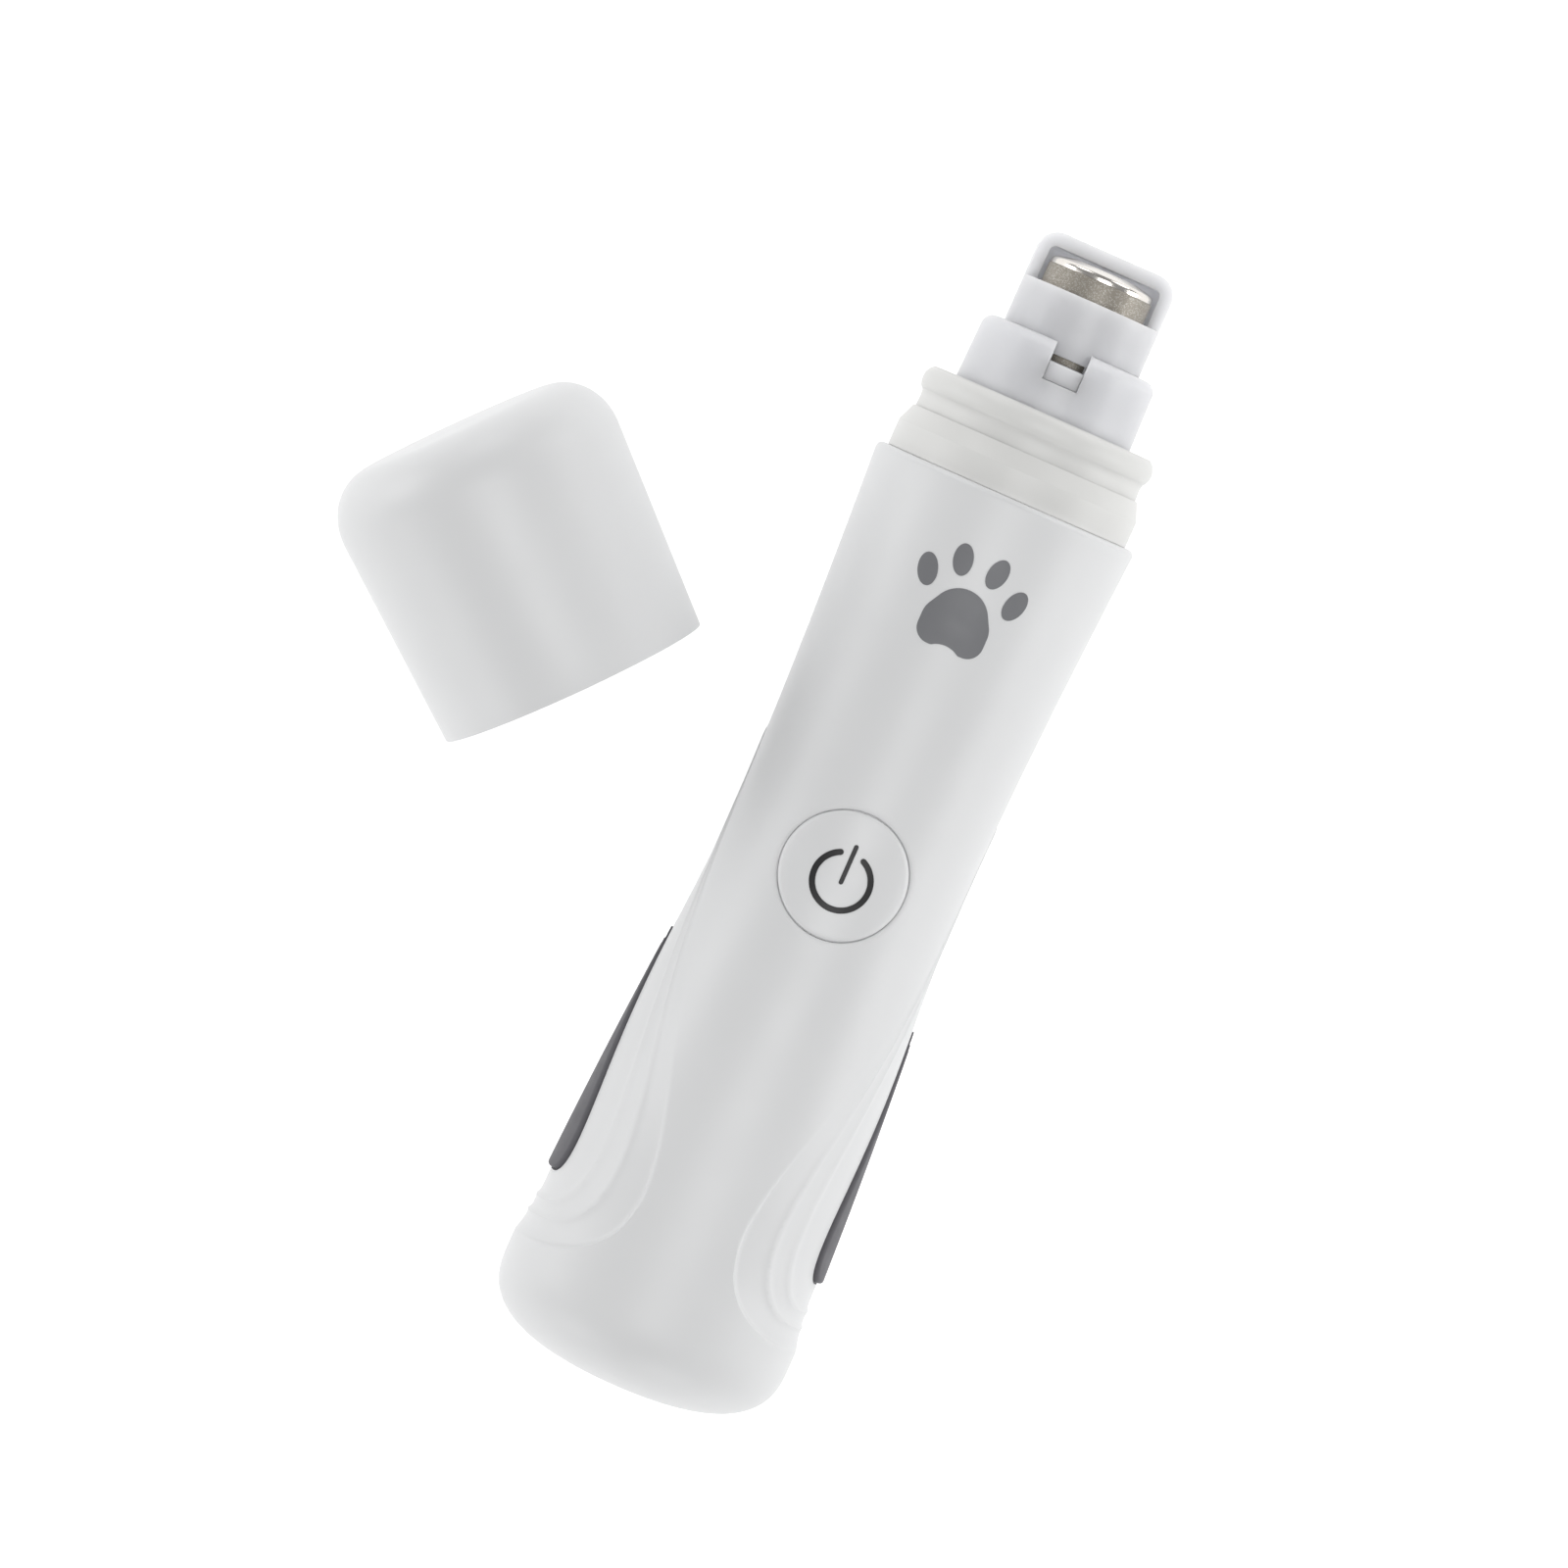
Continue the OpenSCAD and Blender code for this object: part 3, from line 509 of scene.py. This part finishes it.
FINISHES = {
    "white_shell": finish("satin white shell", SATIN_WHITE, 0.4, vary=0.012, bump=0.0016, grain=0.5,
                          patch=24, gloss_spread=0.03),
    "button_white": finish("satin white button", SATIN_WHITE, 0.38, vary=0.01, bump=0.0016, grain=0.5,
                           gloss_spread=0.03),
    "neck_white": finish("warm white neck", (0.72, 0.72, 0.705), 0.38, vary=0.015, bump=0.002, grain=0.5,
                         gloss_spread=0.02, specular=0.35),
    "guard_white": finish("cool white guard", (0.69, 0.695, 0.72), 0.34, vary=0.012, bump=0.002, grain=0.5,
                          gloss_spread=0.02, specular=0.35, milky=1.0),
    "grip_rubber": finish("dark grey rubber", (0.115, 0.113, 0.124), 0.62, vary=0.08, bump=0.02, grain=0.12,
                          specular=0.4),
    "seal_rubber": finish("black rubber", (0.03, 0.03, 0.03), 0.7, vary=0.1, bump=0.015, grain=0.15),
    "grey_print": finish("grey print", (0.175, 0.178, 0.188), 0.5, vary=0.03, bump=0.003, grain=0.1),
    "black_print": finish("black print", (0.008, 0.008, 0.009), 0.45, vary=0.05, bump=0.003, grain=0.1),
    "inner_plastic": finish("natural plastic", (0.62, 0.58, 0.5), 0.45, vary=0.03, bump=0.004),
    "board_green": finish("solder mask", (0.03, 0.2, 0.09), 0.35, vary=0.15, bump=0.006, patch=2.5,
                          specks=((0.1, 0.36, 0.2), 1.4, 0.25)),
    "black_plastic": finish("moulded black", (0.02, 0.02, 0.022), 0.5, vary=0.1, bump=0.004),
    "wire_red": finish("red wire cover", (0.5, 0.03, 0.025), 0.4, vary=0.08, bump=0.004),
    "wire_black": finish("black wire cover", (0.02, 0.02, 0.02), 0.4, vary=0.08, bump=0.004),
    "polished_steel": finish("polished steel", (0.74, 0.71, 0.67), 0.2, metallic=1, vary=0.03, bump=0.0004,
                             grain=0.2, gloss_spread=0.03),
    "abrasive": finish("abrasive grit", (0.31, 0.285, 0.245), 0.48, metallic=0.6, vary=0.06, bump=0.012,
                       grain=0.1, patch=3, specks=((0.5, 0.48, 0.44), 0.1, 0.25), stretch=AROUND,
                       gloss_spread=0.04),
    "plated_steel": finish("plated steel", (0.6, 0.6, 0.58), 0.28, metallic=1, vary=0.05, bump=0.001,
                           stretch=LENGTHWISE),
    "iron_stack": finish("stacked iron", (0.2, 0.19, 0.18), 0.45, metallic=0.9, vary=0.1, bump=0.01,
                         grain=0.5, stretch=FAR_AROUND),
    "bush_brass": finish("brass", (0.7, 0.48, 0.2), 0.3, metallic=1, vary=0.05, bump=0.001),
    "cell_wrap": finish("blue cell wrap", (0.05, 0.16, 0.42), 0.35, vary=0.05, bump=0.002, patch=12),
}


def finish_cad_nodes():
    """Every CAD node that still shows takes the finish of its slot in the record."""
    for entry in frame["record"]["subparts"]:
        mesh = frame["nodes"][entry["node"]].data
        mesh.materials.clear()
        mesh.materials.append(FINISHES[entry["material_slot"]])


# ---------------------------------------------------------------- handle

SEAM_BREAK, HOLE_BREAK, SLOT_BREAK = 0.16, 0.32, 0.25
# distances from an opening's edge at which the mesh has a ring of points
OPENING_RINGS = (0, 0.05, 0.13, 0.32, 0.75)
# spacing of the mesh's points on the dome, the side as far as the grips' heads, and above, and of lines
DOME_STEP, LOW_STEP, HIGH_STEP, LINE_STEP = 0.75, 0.62, 0.8, 0.7
LOW_LEN = 56


def map_outline(step):
    """The border of one half's map, with points evenly spaced."""
    low, high = -DOME_LEN - FLAT_LEN, SIDE_LEN + RIM_LEN
    corners = [(0, low), (HALF_TURN, low), (HALF_TURN, high), (0, high)]
    sides = [even(corners[k:k + 2] if k < 3 else [corners[3], corners[0]], step)[:-1] for k in range(4)]
    return np.vstack(sides)


def both_sides(line):
    """A line of the right-hand pocket and its twin in the left-hand one."""
    return [(line, False), (np.stack([HALF_TURN - line[:, 0], line[:, 1]], 1), False)]


def map_lines():
    """Lines that the map's mesh has to follow: seams, flat end, rim, pocket edges and ripples."""
    low, high = -DOME_LEN - FLAT_LEN, SIDE_LEN + RIM_LEN
    rows = [-DOME_LEN, -12, -9, *np.linspace(SIDE_LEN, high, 6)[:-1]]
    lines = [(even([(0, b), (HALF_TURN, b)], LINE_STEP), False) for b in rows]
    for beside in (0.05, SEAM_BREAK, 0.45):
        lines += both_sides(even([(beside, low + 2), (beside, high)], LINE_STEP))
    edge = drop_line(1, 0.5)
    foot = edge[edge[:, 1] < 66]
    lines += both_sides(edge)
    for distance in (-0.35, 0.15, 0.3, LIP_W, 0.8):
        line = offset(foot, distance)
        lines += both_sides(line[line[:, 0] > 0.3])
    for start in RIPPLE_STARTS:
        for k in (-2, -1, 0, 1, 2):
            lines += both_sides(drop_line(start + k * RIDGE_W, 0.6))
    seat = drop_line(0, 0.35)
    for line in (seat, offset(seat, SEAT_W)[2:-2]):
        lines += both_sides(line)
    return lines


def shell(side, opening, is_open, opening_break, follow):
    """One half of the handle. opening(grow) is the outline of its hole on the map, is_open tells which
    places lie inside it, and follow gives the inner sheet's places near the hole."""
    rings = [opening(grow) for grow in OPENING_RINGS]
    lines = map_lines() + [(ring, True) for ring in rings]
    dots = np.vstack([
        grid((0, -DOME_LEN - FLAT_LEN), (HALF_TURN, 0), DOME_STEP),
        grid((0, 0), (HALF_TURN, LOW_LEN), LOW_STEP),
        grid((0, LOW_LEN), (HALF_TURN, SIDE_LEN), HIGH_STEP),
    ])
    dots = dots[~is_open(dots, 0.5)]
    places, faces = triangles(map_outline(LINE_STEP), lines, dots, 0.28)
    on_edge = is_open(places, 0.01)
    faces = [face for face in faces if not all(on_edge[k] for k in face)]
    a, b = places.T
    y = height_at(b)
    angle = np.minimum(a, HALF_TURN - a) / DEGREE
    away = nearest(even(rings[0], 0.05, True), places)
    fall = np.maximum(edge_break(away, opening_break), edge_break(angle * DEGREE, SEAM_BREAK))
    outer = skin(a, b, -pocket_depth(angle, y) - fall, side)
    return thick(outer, follow(outer, a, b, share(away, 4, 0)), faces)


def inside_radius(y):
    return np.where(y < PLUG_Y, half_size(np.maximum(y, END_WALL), BULGE_D) - WALL, MOUTH_R)


def inner_sheet(a, b):
    """Turn, radius and height of the inner sheet, which shrinks to nothing behind the flat end."""
    y = height_at(b)
    flat = share(b, -DOME_LEN - FLAT_LEN, -DOME_LEN)
    shrink = np.where(y < END_WALL, dome(np.minimum(y, END_WALL)) / dome(END_WALL) * flat, 1)
    return a / DEGREE * math.pi / 180, inside_radius(y) * shrink, np.maximum(y, END_WALL)


def front_half():
    def opening(grow):
        turn = np.linspace(0, 2 * math.pi, 112, endpoint=False)
        x, y = (HOLE_R + grow) * np.cos(turn), BUTTON_Y + (HOLE_R + grow) * np.sin(turn)
        return np.stack([np.degrees(np.arccos(x / half_size(y, BULGE_W))) * DEGREE, y - BULGE_Y], 1)

    def is_open(places, grow):
        y = places[:, 1] + BULGE_Y
        x = half_size(y, BULGE_W) * np.cos(places[:, 0] / DEGREE * math.pi / 180)
        return np.hypot(x, y - BUTTON_Y) < HOLE_R + grow

    def follow(outer, a, b, near):
        turn, radius, y = inner_sheet(a, b)
        x = mix(radius * np.cos(turn), outer[:, 0], near)
        return np.stack([x, y, np.sqrt(np.maximum(radius ** 2 - x ** 2, 0))], 1)

    solid = shell(1, opening, is_open, HOLE_BREAK, follow)
    make("front_half_shell", solid, "handle", ["front_shell"], "white_shell")


def rear_half():
    reach = (SLOT_W - SLOT_H) / 2

    def opening(grow):
        turn = np.radians(np.arange(-90, 91, 6))
        radius = SLOT_H / 2 + grow
        end = np.stack([reach + radius * np.cos(turn), radius * np.sin(turn)], 1)
        x, z = even(np.vstack([end, -end]), 0.35, True).T
        z = z - SLOT_Z
        reached = np.hypot(x / BULGE_W, z / BULGE_D)
        y = (BULGE_Y + END_LIFT) * (1 - (1 - reached ** DOME_POWER) ** (1 / DOME_POWER)) - END_LIFT
        b = DOME_LEN * (np.arccos(1 - np.maximum(y, 0) / BULGE_Y) / (math.pi / 2) - 1)
        return np.stack([np.degrees(np.arctan2(z / BULGE_D, x / BULGE_W)) * DEGREE, b], 1)

    def is_open(places, grow):
        x, _, z = skin(places[:, 0], places[:, 1], np.zeros(len(places)), -1).T
        beside = np.hypot(np.maximum(np.abs(x) - reach, 0), z - SLOT_Z)
        return (beside < SLOT_H / 2 + grow) & (places[:, 1] < 0)

    def follow(outer, a, b, near):
        turn, radius, y = inner_sheet(a, b)
        x = mix(radius * np.cos(turn), outer[:, 0], near)
        z = mix(-radius * np.sin(turn), outer[:, 2], near)
        return np.stack([x, y, z], 1)

    solid = shell(-1, opening, is_open, SLOT_BREAK, follow)
    make("rear_half_shell", solid, "handle", ["rear_shell"], "white_shell")


# the pad's rounded edge and its fall to the sides, and its groove, which runs out towards the pointed head
PAD_EDGE, PAD_CROWN = 0.36, 0.15
PAD_GROOVE, PAD_HEAD, PAD_HEAD_FROM, PAD_HEAD_TO = -0.3, 0.25, 7, 2


def grip_pad(name, side, node):
    """A rubber pad with a rounded edge and a narrow groove round it, standing in its seat."""
    half = drop_line(0, 0.3)
    outline = np.vstack([half, half[-2:0:-1] * (-1, 1)])
    inner_line = inset(outline, SEAT_W + 0.02, 0.3)
    rings = [inset(inner_line, GROOVE_W + further, 0.3) for further in (-0.02, 0, 0.06, 0.18, 0.36, 0.6)]
    low, high = outline.min(0), outline.max(0)
    places, faces = triangles(inner_line, [(ring, True) for ring in rings], grid(low, high, 0.7), 0.3)
    away = nearest(even(inner_line, 0.05, True), places)
    a, b = places.T
    y = height_at(b)
    floor = -pocket_fade(y) * (POCKET_STEP + 2 * RIPPLE_STEP)
    height = GRIP_T * mix(1, GRIP_TAPER, (y - GRIP_LOW) / (GRIP_HIGH - GRIP_LOW))
    crown = height * (1 - PAD_CROWN * (a / DEGREE / GRIP_ANGLE) ** 2)
    near_head = share(y, GRIP_HIGH - PAD_HEAD_FROM, GRIP_HIGH - PAD_HEAD_TO)
    groove = mix(PAD_GROOVE, PAD_HEAD, near_head)
    fall = np.where(away < GROOVE_W - 0.01, crown - groove, edge_break(away - GROOVE_W, PAD_EDGE))
    outer = skin(a, b, floor + crown - fall)
    inner = skin(a, b, floor - SEAT_DEPTH + 0.02)
    mirror = (side, 1, 1)
    make(name, thick(outer * mirror, inner * mirror, faces), "handle", [node], "grip_rubber", 60)


# ---------------------------------------------------------------- button and figures

# the floor of the groove round the button is a narrow flange of the button
GROOVE_R, GROOVE_DEPTH = 8.56, 0.7
STEM_R, STEM_END, HOLLOW_R, TOP_WALL, SKIRT_END = 2, 12, 7.2, 1.6, 10
EDGE_W, EDGE_FALL = 0.6, 0.4
# how far below and above the skin a printed figure reaches
PRINT_HIGH, ICON_LOW, PAW_LOW = 0.05, -0.09, -0.07


def power_button():
    rings = [0.01, 1, 2, 3.2, 4.4, 5.6, 6.6, HOLLOW_R - 0.01, HOLLOW_R + 0.01, 7.7, 7.9, 8.05, 8.18, 8.28,
             8.35, BUTTON_R, BUTTON_R + 0.01, GROOVE_R]
    segments = 96
    turns = np.arange(segments) * 2 * math.pi / segments
    r, t = np.meshgrid(rings, turns, indexing="ij")
    x, y = (r * np.cos(t)).ravel(), (BUTTON_Y + r * np.sin(t)).ravel()
    r = r.ravel()
    top = front_z(x, y)
    under = np.where(r < STEM_R, STEM_END, np.where(r < HOLLOW_R, top - TOP_WALL, SKIRT_END))
    fall = np.where(r > BUTTON_R, GROOVE_DEPTH, EDGE_FALL * edge_break(BUTTON_R - r, EDGE_W))
    outer = np.stack([x, y, top - fall], 1)
    inner = np.stack([x, y, under], 1)
    faces = [(i * segments + j, (i + 1) * segments + j, (i + 1) * segments + (j + 1) % segments,
              i * segments + (j + 1) % segments) for i in range(len(rings) - 1) for j in range(segments)]
    faces.append(tuple(range(segments)))
    solid = thick(outer, inner, faces)
    make("power_button_top", solid, "button", ["power_button"], "button_white")


def stroke(path, half_width):
    """The outline of a line with round ends, drawn along a path."""
    left, right = offset(path, half_width), offset(path, -half_width)

    def end(point, run):
        start = math.atan2(run[1], run[0]) + math.pi / 2
        turns = start - np.linspace(0, math.pi, 10)[1:-1]
        return point + half_width * np.stack([np.cos(turns), np.sin(turns)], 1)

    last, first = end(path[-1], path[-1] - path[-2]), end(path[0], path[0] - path[1])
    return np.vstack([left, last, right[::-1], first])


def figure(name, outlines, centre_y, low, body, node, slot):
    """Thin printed figures on the handle's front, from outlines round the figure's centre. low is
    where they start below the skin."""
    points, faces = np.zeros((0, 3)), []
    for outline in outlines:
        outline = even(outline, 0.22, True)
        places, inside = triangles(outline, [], grid(outline.min(0), outline.max(0), 0.5), 0.2)
        x, y = places.T
        y = y + centre_y
        z = front_z(x, y)
        solid, found = thick(np.stack([x, y, z + PRINT_HIGH], 1), np.stack([x, y, z + low], 1), inside)
        faces += [tuple(k + len(points) for k in face) for face in found]
        points = np.vstack([points, solid])
    make(name, (points, faces), body, [node], slot)


def power_symbol():
    gap = math.asin(ICON_END_X / ICON_R)
    turns = math.pi / 2 + np.linspace(gap, 2 * math.pi - gap, 90)
    arc = ICON_R * np.stack([np.cos(turns), np.sin(turns)], 1)
    bar = even([(0, -0.15), (0, 4.75)], 0.3)
    outlines = [stroke(arc, ICON_LINE / 2), stroke(bar, 0.3)]
    outlines = [outline - (0, ICON_DROP) for outline in outlines]
    figure("power_symbol", outlines, BUTTON_Y, ICON_LOW, "button", "power_icon", "black_print")


def oval(x, y, a, b, tilt):
    turns = np.linspace(0, 2 * math.pi, 60, endpoint=False)
    lean = math.radians(tilt)
    across, up = a * np.cos(turns), b * np.sin(turns)
    return np.stack([x + across * math.cos(lean) - up * math.sin(lean),
                     y + across * math.sin(lean) + up * math.cos(lean)], 1)


def paw_pad():
    """The main pad: the hull of five circles, with a shallow notch in its foot."""
    circles = [(0, 0.4, 3.8), (-1.3, -0.7, 3.2), (1.3, -0.7, 3.2), (-2.4, -2, 2.1), (2.4, -2, 2.1)]
    outline = []
    for turn in np.linspace(0, 2 * math.pi, 180, endpoint=False):
        way = np.array((math.cos(turn), math.sin(turn)))
        x, y, r = max(circles, key=lambda c: c[0] * way[0] + c[1] * way[1] + c[2])
        outline.append((x + r * way[0], y + r * way[1]))
    outline = even(outline, 0.15, True)
    x, y = outline.T
    notch = -6.7 + np.sqrt(np.maximum(3.2 ** 2 - x ** 2, 0))
    return np.stack([x, np.where(y < 0, np.maximum(y, notch), y)], 1)


def paw():
    toes = [oval(side * 2.4, 7.45, 1.3, 2.1, -side * 12) for side in (-1, 1)]
    toes += [oval(side * 6.05, 4.6, 1.3, 2.15, -side * 18) for side in (-1, 1)]
    figure("paw_figure", [paw_pad(), *toes], PAW_Y, PAW_LOW, "handle", "paw_print", "grey_print")


# ---------------------------------------------------------------- neck, guard and drum

def neck():
    turns = np.radians(np.arange(-66, 70, 6))
    bead = [(BEAD_R - 1 + math.cos(t), BEAD_Y + 1.62 * math.sin(t)) for t in turns]
    seat_y = RIM_Y + MOUTH_FIT
    band = round_off([(NECK_BORE_R, PLUG_Y, 0.2), (PLUG_R, PLUG_Y, 0.3), (PLUG_R, seat_y, 0),
                      (BAND_R, seat_y, 0.05), (BAND_R, BAND_TOP, 0.22), (15.75, NECK_GROOVE_Y - 1.2, 0.5),
                      (NECK_GROOVE_R, NECK_GROOVE_Y, 0.5)], 5)[:-2]
    seat_r = BASE_R + MOUTH_FIT
    inside = round_off([(BEAD_R - 0.8, NECK_TOP, 0.1), (seat_r, NECK_TOP, 0.3), (seat_r, WEB_TOP, 0.1),
                        (SEAL_R, WEB_TOP, 0.2), (SEAL_R, WEB_BOTTOM, 0.2),
                        (NECK_BORE_R, WEB_BOTTOM, 0.4)], 4)
    groove = [(NECK_GROOVE_R, NECK_GROOVE_Y + 0.2), (NECK_GROOVE_R + 0.03, NECK_GROOVE_Y + 0.6)]
    outline = np.vstack([band, groove, bead, inside])
    make("neck_ring", turned(outline, 192), "handle", ["neck_collar"], "neck_white", 50)


def guard_foot():
    outline = round_off([(4, WEB_TOP + MOUTH_FIT, 0.2), (BASE_R, WEB_TOP + MOUTH_FIT, 0.2),
                         (BASE_R, 137, 0), (BASE_R - 0.2, BASE_TOP, 1.5), (BASE_BORE_R, BASE_TOP, 0.35),
                         (BASE_BORE_R, 132, 0.4), (4, 132, 0.2)], 7)
    keyway = block((-KEYWAY_W / 2, KEYWAY_Y, 7), (KEYWAY_W / 2, BASE_TOP + 4.1, 16))
    solid = carved(turned(outline, 136), [("DIFFERENCE", keyway)], 0.22)
    piece = make("guard_base_cup", solid, "handle", ["guard_base"], "guard_white", 50)
    even_shading(piece)


def guard_top():
    ceiling = GUARD_TIP - GUARD_TOP_WALL
    outline = round_off([(GUARD_BORE_R, GUARD_FOOT, 0.2), (GUARD_R, GUARD_FOOT, 0.3),
                         (GUARD_R, GUARD_TIP, 2.8), (0, GUARD_TIP, 0), (0, ceiling, 0),
                         (GUARD_BORE_R, ceiling, 0.8)], 9)
    key_x, slit_x = KEYWAY_W / 2 - 0.06, KEYWAY_W / 2 - 0.2
    key = block((-key_x, KEYWAY_Y + 0.04, 7.9), (key_x, SLIT_LOW - 0.1, 11.5))
    window = block((-20, WINDOW_Y, 0), (20, 170, 20))
    slit = block((-slit_x, SLIT_LOW, 5), (slit_x, SLIT_HIGH, 14))
    steps = [("UNION", key), ("DIFFERENCE", window), ("DIFFERENCE", slit)]
    solid = carved(turned(outline, 128), steps, 0.24)
    piece = make("guard_cap_tube", solid, "guard", ["guard_cap"], "guard_white", 50)
    even_shading(piece)


def drum():
    lip_r = DRUM_R - 0.1
    core = round_off([(SHAFT_R, CORE_FOOT, 0.1), (CORE_R, CORE_FOOT, 0.3), (CORE_R, ABRASIVE_TOP, 0),
                      (lip_r, ABRASIVE_TOP, 0.05), (lip_r, DRUM_TOP - 0.7, 0.6),
                      (4.6, DRUM_TOP - 0.08, 0.8), (2.9, DRUM_TOP, 0), (0, DRUM_TOP, 0), (0, 152, 0),
                      (SHAFT_R, 152, 0.05)], 7)
    make("drum_core_steel", turned(core), "drive", ["drum_core"], "polished_steel", 50)
    sleeve = round_off([(CORE_R, ABRASIVE_FOOT, 0.05), (DRUM_R, ABRASIVE_FOOT, 0.15),
                        (DRUM_R, ABRASIVE_TOP, 0.15), (CORE_R, ABRASIVE_TOP, 0.05)], 4)
    make("abrasive_band", turned(sleeve), "drive", ["abrasive_sleeve"], "abrasive", 50)


def cap():
    tilt = math.atan((CAP_MAX_R - CAP_MOUTH_R) / CAP_MAX_AT)
    lift = CAP_MOUTH_R * math.cos(tilt) - RIM_R
    end = CAP_LEN - CAP_MAX_AT
    corner = [(CAP_MAX_R - CAP_CORNER * (1 - math.cos(t)), CAP_LEN - end * (1 - math.sin(t)))
              for t in np.radians(np.arange(0, 91, 5))]
    inner_corner = [(CAP_BORE_R - CAP_BORE_CORNER * (1 - math.cos(t)),
                     CAP_BORE_END - CAP_BORE_CORNER * (1 - math.sin(t)))
                    for t in np.radians(np.arange(90, -1, -10))]
    mouth = round_off([(CAP_BORE_R, CAP_BAND_LEN + 2.8, 0.3), (SNAP_R, CAP_BAND_LEN + 1.8, 0.3),
                       (SNAP_R, CAP_BAND_LEN + 1, 0.3), (CAP_BAND_R, CAP_BAND_LEN, 0.2),
                       (CAP_BAND_R, 0, 0.12), (CAP_MOUTH_R, 0, 0.12), (CAP_MOUTH_R + 0.2, 4.2, 0)], 4)
    outline = np.vstack([mouth, corner, [(0, CAP_LEN), (0, CAP_BORE_END)], inner_corner])
    points, faces = turned(outline, 192)
    place = Matrix.Rotation(math.radians(CAP_TURN), 3, "Z") @ Matrix.Rotation(tilt, 3, "X")
    points = points @ np.array(place).T + (*CAP_PLACE, lift)
    make("cap_cup", (points, faces), "cap", ["cap_shell"], "white_shell", 50)


# ---------------------------------------------------------------- stage

VIEW_TURN = math.radians(23.8)
FRAME_SIDE, LENS, SENSOR = 0.2025, 200, 36
TARGET = Vector((-0.01124, 0.0796, 0))
TO_CAMERA = Vector((-0.028, 0.044, 1)).normalized()

# metres from the target, and each light's way from it, size in metres and power in watts
LIGHT_DISTANCE = 0.9
SOFTBOXES = {
    "overhead": ((0.1, 0.02, 1), 0.42, 2.4),
    "right": ((0.9, 0.1, 0.25), 0.4, 2.0),
    "left": ((-0.9, 0, 0.2), 0.4, 1.5),
    "high left": ((-0.85, -0.1, 0.5), 0.4, 0.3),
    "head left": ((-0.55, 0.8, 0.35), 0.4, 1.3),
    "head right": ((0.5, 0.85, 0.3), 0.4, 1.4),
    "foot left": ((-0.5, -0.85, 0.4), 0.4, 1.2),
    "foot right": ((0.35, -0.95, 0.35), 0.4, 1.1),
}
TABLE_HALF, TABLE_GREY, TABLE_GLOW, ROOM_GLOW = 3, 0.4, 0.85, 0.28


def camera():
    data = bpy.data.cameras.new("camera")
    data.lens, data.sensor_width = LENS, SENSOR
    data.clip_end = 10
    item = bpy.data.objects.new("camera", data)
    bpy.context.scene.collection.objects.link(item)
    back = TO_CAMERA
    up = Vector((-math.sin(VIEW_TURN), math.cos(VIEW_TURN), 0))
    right = up.cross(back).normalized()
    up = back.cross(right)
    turn = Matrix((right, up, back)).transposed().to_4x4()
    item.matrix_world = Matrix.Translation(TARGET + back * FRAME_SIDE * LENS / SENSOR) @ turn
    bpy.context.scene.camera = item


def softbox(name, way, size, power):
    """A large square light that looks at the object."""
    data = bpy.data.lights.new(name, "AREA")
    data.size, data.energy = size, power
    item = bpy.data.objects.new(name, data)
    bpy.context.scene.collection.objects.link(item)
    way = Vector(way).normalized()
    turn = way.to_track_quat("Z", "Y").to_matrix().to_4x4()
    item.matrix_world = Matrix.Translation(TARGET + way * LIGHT_DISTANCE) @ turn


def stage():
    """A lit white table, a plain white room and softboxes all round."""
    base = cad_low.z - 0.00002
    corners = [(x * TABLE_HALF, y * TABLE_HALF, base) for x, y in ((-1, -1), (1, -1), (1, 1), (-1, 1))]
    mesh = bpy.data.meshes.new("table")
    mesh.from_pydata(corners, [], [(0, 1, 2, 3)])
    table = bpy.data.objects.new("table", mesh)
    bpy.context.scene.collection.objects.link(table)
    white = bpy.data.materials.new("light table")
    white.use_nodes = True
    shader = white.node_tree.nodes["Principled BSDF"]
    shader.inputs["Base Color"].default_value = (TABLE_GREY, TABLE_GREY, TABLE_GREY, 1)
    shader.inputs["Roughness"].default_value = 0.9
    shader.inputs["Emission Color"].default_value = (1, 1, 1, 1)
    shader.inputs["Emission Strength"].default_value = TABLE_GLOW
    mesh.materials.append(white)
    world = bpy.data.worlds.new("room")
    world.use_nodes = True
    world.node_tree.nodes["Background"].inputs["Color"].default_value = (1, 1, 1, 1)
    world.node_tree.nodes["Background"].inputs["Strength"].default_value = ROOM_GLOW
    bpy.context.scene.world = world
    for name, (way, size, power) in SOFTBOXES.items():
        softbox(name, way, size, power)
    bpy.context.scene.view_settings.view_transform = "Standard"


# ---------------------------------------------------------------- build

finish_cad_nodes()
front_half()
rear_half()
grip_pad("right_pad", 1, "right_grip")
grip_pad("left_pad", -1, "left_grip")
power_button()
power_symbol()
paw()
neck()
guard_foot()
guard_top()
drum()
cap()
camera()
stage()
